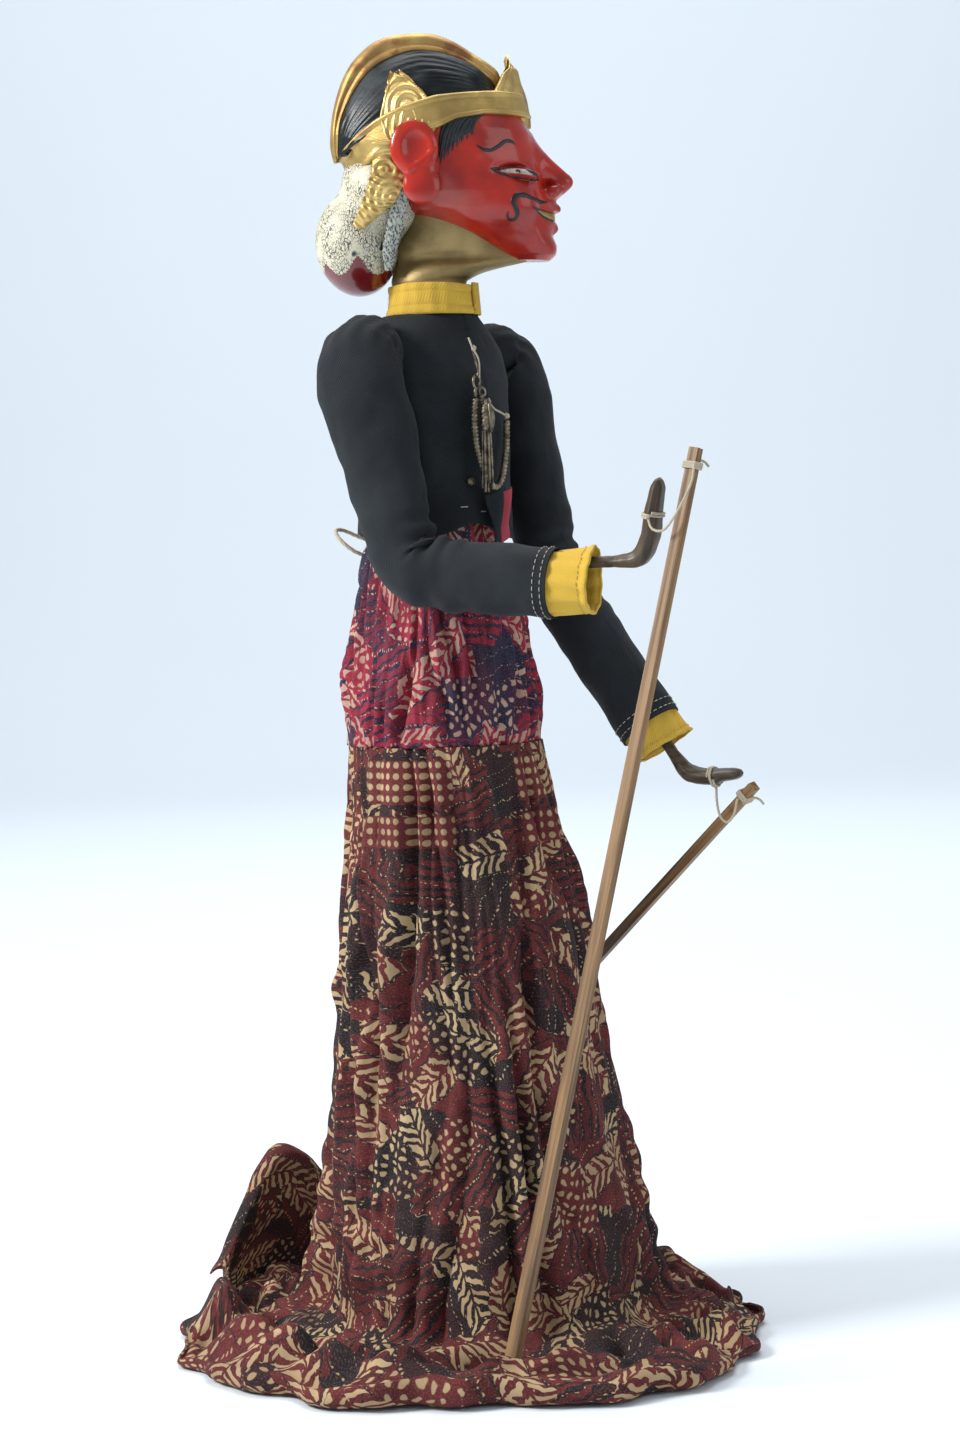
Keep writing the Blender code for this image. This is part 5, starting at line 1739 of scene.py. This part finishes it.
def make_collar(looks):
    """The yellow stand collar: a folded band with two stitched lines, its end lapped at the front."""
    columns = 160
    turn = circle(columns, math.radians(90))
    profile = (
        # share of the height, distance out in 0.6 mm
        (1.0, -0.2), (1.0, 0.3), (0.96, 0.7), (0.88, 0.8), (0.78, 0.4), (0.72, 0.0), (0.66, 0.35),
        (0.50, 0.45), (0.34, 0.5), (0.26, 0.1), (0.20, 0.6), (0.10, 1.3), (0.0, 1.1), (-0.06, 0.2),
    )
    rows = []
    for share, out in smooth_path(profile, 44):
        wobble = 0.0003 * np.sin(7 * turn + 4 * share) + 0.0002 * np.sin(19 * turn)
        dip = 0.0006 * np.sin(2 * turn + 1) * share
        rows.append(collar_ring(turn, share, out * 0.0006 + wobble, dip))
    uv = sheet_uv(np.linspace(0, 0.142, columns + 1), np.linspace(0, 0.017, len(rows)))
    collar = cloth("collar_cloth", rows, looks["yellow"], uv=uv, thickness=0.0012)
    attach(collar, "torso")
    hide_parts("collar")
    lap_start = math.radians(-78) - 0.10
    across = np.linspace(lap_start, lap_start + 0.52, 24)
    lift = 0.0014 + 0.0004 * np.sin(across * 9)
    rows = [collar_ring(across, share, lift) for share in np.linspace(1.04, -0.06, 26)]
    lap = cloth("collar_lap", rows, looks["yellow"], closed=False, thickness=0.0010)
    fray = make_fray(lap_start, looks["yellow_thread"])
    for obj in (lap, fray):
        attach(obj, "torso")


def make_fray(turn, look):
    """Loose ends of thread down the lap's raw edge."""
    threads = []
    random = np.random.default_rng(4)
    for _ in range(26):
        share = random.uniform(0, 1)
        at = collar_ring(turn, share, 0.0013 + 0.0010 * share)
        reach_x = random.uniform(-0.0016, 0.0004)
        reach_y = random.uniform(-0.0012, 0.0002)
        away = np.array((reach_x, reach_y, random.uniform(-0.0012, 0.0012)))
        line = smooth_path([at, at + away * 0.6 + (0, -0.0003, 0), at + away], 6)
        threads.append(tube("fray", line, 0.00014, look, 4))
    return joined("collar_fray", threads)


# ---------------------------------------------------------------- small things


def path_length(path):
    return float(distances(path)[-1])


def rope(name, points, radius, look, count=None, pitch=0.0035):
    """A twisted string along a soft curve: its section has lobes that wind round it.
    Gives back the string and its path."""
    lobes, ply, sides = 3, 0.16, 14
    path = smooth_path(points, count or int(path_length(points) / 0.0005) + 8)
    step = np.linalg.norm(path[1] - path[0])
    angles = np.arange(sides) * math.tau / sides
    wound = np.arange(len(path))[:, None] * step / pitch * math.tau / lobes
    reach = radius * (1 - ply + ply * 1.6 * np.abs(np.cos((angles - wound) * lobes / 2)))
    return swept(name, path, reach, look), path


HAND_STRINGS = {
    "R": (
        (-0.0378, -0.1465, 0.4125), (-0.0395, -0.1500, 0.4065), (-0.0392, -0.1565, 0.4060),
        (-0.0370, -0.1630, 0.4150), (-0.0337, -0.1683, 0.4270), (-0.0312, -0.1691, 0.4361),
    ),
    "L": (
        (0.0655, -0.1205, 0.2755), (0.0640, -0.1215, 0.2680), (0.0625, -0.1240, 0.2610),
        (0.0615, -0.1285, 0.2580), (0.0615, -0.1325, 0.2620), (0.0638, -0.1335, 0.2699),
    ),
}
WAIST_CORD = (
    (0.0130, 0.0372, 0.4020), (0.0080, 0.0430, 0.4030), (0.0, 0.0500, 0.4070), (-0.0080, 0.0555, 0.4110),
    (-0.0150, 0.0550, 0.4105),
    (-0.0170, 0.0505, 0.4060), (-0.0140, 0.0450, 0.4005), (-0.0080, 0.0410, 0.3975),
    (-0.0020, 0.0392, 0.3960),
)


def make_cords(looks):
    """The waist drawstring's loop at the back, and the string from each hand to its rod."""
    loop, path = rope("waist_cord_string", WAIST_CORD, 0.0010, looks["string"])
    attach(loop, "torso")
    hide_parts("waist_cord")
    for side in "RL":
        line, path = rope(
            f"hand_string_cord_{side}", HAND_STRINGS[side], 0.0006, looks["string"], pitch=0.0022
        )
        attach(line, f"string_{side}")
        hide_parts(f"hand_string_{side}")


def make_hand(side, looks):
    """The carved forearm and hand: a thin wrist that flares into a mitten, bent at the palm."""
    elbow, knuckle, tip = ELBOWS[side], KNUCKLES[side], FINGERTIPS[side]
    lower, hand = unit(knuckle - elbow), unit(tip - knuckle)
    reach = np.linalg.norm(knuckle - elbow)
    path = smooth_path(
        [
            elbow + lower * 0.0034,
            elbow + lower * 0.4 * reach,
            elbow + lower * 0.78 * reach,
            knuckle - lower * 0.0110,
            knuckle - lower * 0.0028 + hand * 0.0016,
            knuckle + hand * 0.0110 + lower * 0.0006,
            knuckle * 0.4 + tip * 0.6,
            tip - hand * 0.0040,
            tip + hand * 0.0006,
        ],
        150,
    )
    steps = distances(path)
    far = steps / steps[-1]
    bend = reach / steps[-1]
    marks = (0.0, 0.03, 0.10, bend - 0.25, bend - 0.12, bend - 0.03, bend + 0.07, 0.90, 0.97, 0.992, 1.0)
    wide = np.interp(
        far, marks, (0.0010, 0.0048, 0.0052, 0.0036, 0.0036, 0.0058, 0.0078, 0.0078, 0.0066, 0.0044, 0.0008)
    )
    deep = np.interp(
        far, marks, (0.0010, 0.0048, 0.0052, 0.0030, 0.0028, 0.0046, 0.0042, 0.0038, 0.0031, 0.0020, 0.0005)
    )
    heading = headings(path)
    across = unit(np.cross(lower, hand))
    angles = circle(44)
    facet = 1 + 0.045 * np.cos(angles * 6)
    rows = []
    for centre, ahead, half_wide, half_deep in zip(path, heading, wide, deep):
        side_way = unit(across - ahead * across.dot(ahead))
        other = np.cross(ahead, side_way)
        broad = np.outer(half_wide * facet * np.cos(angles), side_way)
        rows.append(centre + broad - np.outer(half_deep * facet * np.sin(angles), other))
    points = np.array(rows)
    points = pushed(points, rough(points, 0.0035, 12) * 0.00022)
    carved_hand = cloth(f"hand_{side}", points, looks[f"hand_{side}"], thickness=0.0004)
    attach(carved_hand, f"forearm_{side}")
    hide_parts(f"forearm_hand_{side}")
    make_hand_loop(side, path, points, looks["string"])


def make_hand_loop(side, path, points, look):
    """Two turns of string round the palm, knotted where the string to the rod leaves."""
    heading = headings(path)
    loop = []
    start = np.array(HAND_STRINGS[side][0])
    row = int(np.argmin(np.linalg.norm(path - start, axis=1)))
    ring = points[row]
    normal = grid_normals(points, True)[row]
    for turn in range(2):
        for k in range(0, 44, 2):
            share = (turn * 44 + k) / 88
            loop.append(ring[k] + normal[k] * 0.0006 + heading[row] * (share * 0.0026 - 0.0013))
    coil, _ = rope("coil", loop, 0.00062, look, count=260, pitch=0.0022)
    near = ring[int(np.argmin(np.linalg.norm(ring - start, axis=1)))]
    tie = knot(near + unit(start - near) * 0.0010, 0.0015, look)
    lead, _ = rope("lead", [near, near * 0.5 + start * 0.5, start], 0.0006, look, count=20, pitch=0.0022)
    band = joined(f"hand_loop_{side}", [coil, tie, lead])
    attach(band, f"forearm_{side}")


def make_rod_wrap(side, looks):
    """Three turns of string round the rod near its top, with a short tail."""
    top, foot = ROD_ENDS[side]
    along = unit(top - foot)
    across = np.array(Vector(along).orthogonal().normalized())
    other = np.cross(along, across)
    middle = top - along * 0.0085
    turns = 3.0
    points = []
    for share in np.linspace(0, 1, 61):
        angle = turns * math.tau * share
        corner = angle + math.pi / 4
        square = ROD_WIDTH / 2 * 1.0752 / max(abs(math.cos(corner)), abs(math.sin(corner)))
        out = square * (across * math.cos(angle) + other * math.sin(angle))
        points.append(middle + along * 0.0032 * (share - 0.5) + out)
    coil, _ = rope("coil", points, 0.0007, looks["string"], count=240, pitch=0.0022)
    end = points[-1]
    places = ((0.0, 0.0), (0.0035, 0.0012), (0.0065, 0.0002), (0.0085, -0.0022))
    tail_points = [end + PHOTO_RIGHT * right + UP * above for right, above in places]
    tail, _ = rope("tail", tail_points, 0.0006, looks["string"], pitch=0.0022)
    wrap = joined(f"rod_wrap_string_{side}", [coil, tail])
    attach(wrap, f"arm_rod_{side}")
    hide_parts(f"rod_wrap_{side}")


CHAIN_LONG = (
    (-0.0150, -0.0402, 0.4740), (-0.0165, -0.0404, 0.4620), (-0.0150, -0.0406, 0.4480),
    (-0.0100, -0.0410, 0.4360),
    (-0.0040, -0.0410, 0.4300), (0.0020, -0.0410, 0.4340), (0.0065, -0.0405, 0.4480),
    (0.0080, -0.0403, 0.4630),
)
CHAIN_SHORT = (
    (-0.0110, -0.0402, 0.4760), (-0.0075, -0.0405, 0.4640), (-0.0060, -0.0406, 0.4500),
    (-0.0055, -0.0405, 0.4400)
)

RINGS = (
    # middle, radius, tilt
    ((-0.0125, -0.0390, 0.4822), 0.0034, 0.4),
    ((-0.0100, -0.0402, 0.4772), 0.0021, -0.6),
    ((-0.0150, -0.0402, 0.4768), 0.0019, 1.0),
)
CHEST_TIE = (
    (0.0082, -0.0402, 0.4655), (0.0030, -0.0408, 0.4672), (-0.0020, -0.0410, 0.4690),
    (-0.0060, -0.0408, 0.4725)
)
PIN_THREAD = (
    (-0.0170, -0.0385, 0.5040), (-0.0160, -0.0400, 0.4990), (-0.0128, -0.0410, 0.4930),
    (-0.0120, -0.0405, 0.4840)
)


def on_chest(points):
    return turned(np.asarray(points, float), TORSO_YAW, 0.0)


def snake_chain(name, points, radius, look, pitch=0.0019):
    """A chain of close ribs, as one ribbed round bar."""
    step = 0.00025
    path = smooth_path(points, int(path_length(points) / step))
    ribs = np.abs(np.sin(np.arange(len(path)) * step / pitch * math.pi)) ** 0.6
    return tube(name, path, radius * (0.58 + 0.42 * ribs), look, 14)


def make_jewellery(looks):
    """Two snake chains, the ring and hooks they hang from, and a capped tassel of small chains."""
    metal = looks["metal"]
    long_chain = snake_chain("chain_long_links", on_chest(CHAIN_LONG), 0.0018, metal)
    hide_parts("chain_long")
    short_chain = snake_chain("chain_short_links", on_chest(CHAIN_SHORT), 0.0016, metal)
    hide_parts("chain_short")
    angles = np.linspace(0, math.tau, 40)
    parts = []
    for centre, size, tilt in RINGS:
        flat = size * np.cos(angles)
        ring = np.stack([flat * math.cos(tilt), flat * math.sin(tilt) * 0.4, size * np.sin(angles)], -1)
        parts.append(tube("ring", on_chest(np.array(centre) + ring), 0.0007, metal, 8))
    hook = [
        (-0.0150, -0.0392, 0.4980), (-0.0140, -0.0400, 0.4920), (-0.0128, -0.0405, 0.4870),
        (-0.0135, -0.0402, 0.4850)
    ]
    parts.append(tube("pin", smooth_path(on_chest(hook), 20), 0.0006, metal, 8))
    rings = joined("chest_ring_hooks", parts)
    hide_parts("chest_ring")
    charm = make_charm(metal)
    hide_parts("tassel_charm")
    stud = make_stud(metal)
    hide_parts("press_stud")
    for obj in (long_chain, short_chain, rings, charm, stud):
        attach(obj, "torso")
    string = looks["string"]
    sizes = ((CHEST_TIE[0], 0.0024), ((-0.0152, -0.0400, 0.4985), 0.0016), (CHEST_TIE[-1], 0.0016))
    ties = [knot(on_chest(at), size, string) for at, size in sizes]
    for line in (CHEST_TIE, PIN_THREAD):
        ties.append(tube("tie", smooth_path(on_chest(line), 30), 0.0005, string, 7))
    ties = joined("chest_ties", ties)
    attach(ties, "torso")


def knot(centre, size, look):
    """A small untidy knot of string."""
    random = np.random.default_rng(int(abs(centre[2]) * 1e5))
    points = [centre + random.normal(0, size * 0.42, 3) for _ in range(9)]
    return tube("knot", smooth_path(points, 60), size * 0.34, look, 8)


def make_charm(look):
    """A leaf-shaped cap over a bunch of fine box chains."""
    top = np.array((-0.0110, -0.0432, 0.4735))
    profile = (
        (0.0, 0.0006), (0.0020, 0.0011), (0.0035, 0.0022), (0.0070, 0.0030), (0.0100, 0.0027),
        (0.0125, 0.0032), (0.0150, 0.0024), (0.0165, 0.0014)
    )
    down, radii = smooth_path(profile, 40).T
    path = on_chest(top - UP * down[:, None])
    parts = [tube("cap", path, radii * (1 + 0.06 * np.sin(np.arange(40) * 1.3)), look, 18)]
    for k in range(7):
        angle = math.tau * k / 7
        x, y = 0.0021 * math.cos(angle), 0.0016 * math.sin(angle)
        start = top + (x, y, -0.0155)
        length = 0.0285 + 0.0025 * math.sin(k * 2.1)
        line = [start, start + (x * 0.25, y * 0.2, -length * 0.5), start + (x * 0.5, y * 0.2, -length)]
        parts.append(snake_chain(f"strand{k}", on_chest(line), 0.00075, look, 0.0011))
    leaf = [top + (0, -0.0022, -0.002), top + (0, -0.0036, -0.009), top + (0, -0.0030, -0.0165)]
    radii = 0.0007 + 0.0011 * np.sin(np.linspace(0, math.pi, 20))
    parts.append(tube("leaf", smooth_path(on_chest(leaf), 20), radii, look, 8))
    return joined("tassel_charm_chains", parts)


def make_stud(look):
    centre = on_chest((-0.0130, -0.0335, 0.4330))
    out = on_chest((-0.35, -1.0, 0.0))
    path = np.array([centre + unit(out) * t for t in (-0.0010, 0.0, 0.0008, 0.0014, 0.0017)])
    return tube("press_stud_cap", path, (0.0021, 0.0022, 0.0021, 0.0014, 0.0005), look, 20)


def make_sash_flap(looks):
    """The jacket's front corner turned back below the hem, black outside and red inside."""
    low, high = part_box("sash_flap")
    middle_x = (low.x + high.x) / 2
    columns, count = 30, 30
    for name, look, shift, out in (
        ("outer", looks["twill"], 0.0, 0.0), ("lining", looks["lining"], 0.0035, 0.0012)
    ):
        rows = []
        for share in np.linspace(0, 1, count):
            across = np.linspace(-1, 1, columns)
            half = 0.0078 * (1 - 0.55 * share**1.5)
            x = middle_x + shift + across * half + 0.002 * share
            y = low.y - 0.0006 - out + 0.0030 * across**2 - 0.0012 * np.sin(share * 5 + across * 2)
            z = high.z + 0.004 - (high.z - low.z + 0.004) * share + 0.002 * across
            rows.append(np.stack([x, y, z], -1))
        uv = sheet_uv(np.linspace(0, 0.016, columns), np.linspace(0, 0.026, count))
        flap = cloth(f"flap_{name}", rows, look, closed=False, thickness=0.0008, uv=uv)
        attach(flap, "torso")
    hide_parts("sash_flap")


def make_hem_stitches(look):
    """Loose pale stitches near the jacket's front hem."""
    made = []
    places = (
        (-1.98, 0.4205, 0.004), (-1.70, 0.4180, 0.003), (-1.55, 0.4190, 0.0035), (-1.42, 0.4200, 0.003)
    )
    for turn, height, length in places:
        off = np.linspace(-12, 12, 7) * length
        made.append(
            tube("stitch", jacket_point(turn + off, height + 0.2 * off * length, 0.0016), 0.0003, look, 6)
        )
    obj = joined("jacket_stitches", made)
    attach(obj, "torso")


def grain_along(look, direction):
    """The object's own place measured along a direction and across it."""
    along = Vector(direction).normalized()
    side = along.orthogonal().normalized()
    other = along.cross(side)
    place = look.place()
    together = look.node("CombineXYZ")
    for socket, axis in zip(together.inputs, (side, other, along)):
        look.feed(socket, look.vector("DOT_PRODUCT", place, tuple(axis)))
    return together.outputs[0]


def straight_wood(name, direction, light, dark, roughness, scale=420.0):
    """Wood or bamboo whose grain runs along one direction, with darker rubs."""
    look = Look(name, roughness)
    place = grain_along(look, direction)
    grain = look.noise(look.scaled(place, 1.0, 1.0, 0.03), scale, 5.0, distortion=0.3)
    streaks = look.mix(look.step(grain, 0.35, 0.66), light, dark)
    stain = look.step(look.noise(look.scaled(place, 1.0, 1.0, 0.25), 60.0, 4.0), 0.5, 0.75)
    coloured = look.mix(look.times(stain, 0.55), streaks, tuple(0.45 * c for c in dark))
    look.colour(coloured)
    look.roughness(look.plus(look.times(grain, 0.3), roughness - 0.12))
    look.bump(grain, 0.0003, 0.5)
    return look.material


def paint_cad(looks):
    """Materials on the CAD pieces that are shown as they are."""
    plain = {
        "stand_base": looks["pale"], "rod_stop_peg": looks["pale"], "torso_washer": looks["leather"],
        "torso": looks["pale"],
        "central_rod": looks["bamboo"],
    }
    for side in "RL":
        plain[f"shoulder_cord_{side}"] = looks["string"]
        plain[f"elbow_cord_{side}"] = looks["string"]
        plain[f"upper_arm_{side}"] = looks["arm"]
        plain[f"arm_rod_{side}"] = looks[f"rod_{side}"]
    for name, look in plain.items():
        mesh = frame["nodes"][name].data
        mesh.materials.clear()
        mesh.materials.append(look)


set_camera()
set_light()
set_floor()
LOOKS = {
    "red": red_lacquer(),
    "dark_red": dark_red_lacquer(),
    "gold": gold("gold_band", (0.62, 0.43, 0.14), (0.36, 0.24, 0.08), 0.42, 0.35),
    "leaf": gold("gold_leaf", (0.72, 0.52, 0.20), (0.46, 0.31, 0.10), 0.40, 0.25, ripples=0.2),
    "rim": gold("gold_rim", (0.60, 0.40, 0.13), (0.34, 0.20, 0.07), 0.45, 0.8),
    "neck": gold("neck_gold", (0.38, 0.28, 0.12), (0.24, 0.17, 0.07), 0.50, 0.2),
    "teeth": gold("teeth_gold", (0.62, 0.42, 0.16), (0.35, 0.20, 0.06), 0.35, 0.3),
    "black": black_lacquer(),
    "ink": plain_paint("ink", (0.012, 0.010, 0.012), 0.35),
    "hair_ink": plain_paint("hair_ink", (0.018, 0.022, 0.026), 0.45),
    "eye": plain_paint("eye_white", (0.50, 0.48, 0.42), 0.35),
    "hair": flecked_hair(),
    "grey": speckled_grey(),
    "twill": twill("black_twill", (0.010, 0.012, 0.014), (0.024, 0.028, 0.032)),
    "yellow": twill("yellow_cotton", (0.62, 0.40, 0.055), (0.48, 0.30, 0.045), 0.8),
    "yellow_thread": string_look("yellow_thread", (0.70, 0.50, 0.12)),
    "thread": string_look("pale_thread", (0.62, 0.58, 0.46)),
    "string": string_look("string", (0.60, 0.52, 0.38)),
    "lining": twill("red_lining", (0.30, 0.03, 0.05), (0.36, 0.06, 0.08), 0.8),
    "metal": old_metal(),
    "batik": batik(
        "batik_red", (0.135, 0.022, 0.026), (0.085, 0.014, 0.018), (0.50, 0.36, 0.20),
        (0.014, 0.012, 0.018), ((6.0, 28.0), (34.0, 50.0))
    ),
    "crimson": batik(
        "batik_crimson", (0.33, 0.022, 0.050), (0.20, 0.016, 0.034), (0.52, 0.34, 0.26),
        (0.018, 0.022, 0.050), ()
    ),
    "pale": wood("pale_wood", (0.55, 0.40, 0.24), (0.40, 0.27, 0.14), 0.6),
    "leather": wood("washer_leather", (0.22, 0.13, 0.07), (0.12, 0.07, 0.035), 0.7, (1.0, 1.0, 1.0)),
    "bamboo": straight_wood("bamboo", UP, (0.42, 0.26, 0.11), (0.24, 0.13, 0.05), 0.45),
    "arm": wood("arm_wood", (0.13, 0.085, 0.045), (0.05, 0.032, 0.018), 0.45),
}
for SIDE in "RL":
    LOOKS[f"hand_{SIDE}"] = straight_wood(
        f"hand_wood_{SIDE}", FINGERTIPS[SIDE] - KNUCKLES[SIDE], (0.115, 0.078, 0.045),
        (0.038, 0.026, 0.016), 0.42, 300.0
    )
    LOOKS[f"rod_{SIDE}"] = straight_wood(
        f"rod_bamboo_{SIDE}", ROD_ENDS[SIDE][0] - ROD_ENDS[SIDE][1], (0.30, 0.165, 0.062),
        (0.120, 0.060, 0.024), 0.5
    )
make_face(LOOKS)
make_neck(LOOKS["neck"])
make_headdress(LOOKS)
make_cords(LOOKS)
make_lower_skirt(LOOKS["batik"])
make_upper_skirt(LOOKS["crimson"])
make_hem_fold(LOOKS["batik"])
make_jacket(LOOKS["twill"])
make_collar(LOOKS)
for SIDE in "RL":
    make_sleeves(SIDE, LOOKS)
    make_cuff(SIDE, LOOKS)
    make_hand(SIDE, LOOKS)
    make_rod_wrap(SIDE, LOOKS)
make_jewellery(LOOKS)
make_sash_flap(LOOKS)
make_hem_stitches(LOOKS["thread"])
paint_cad(LOOKS)
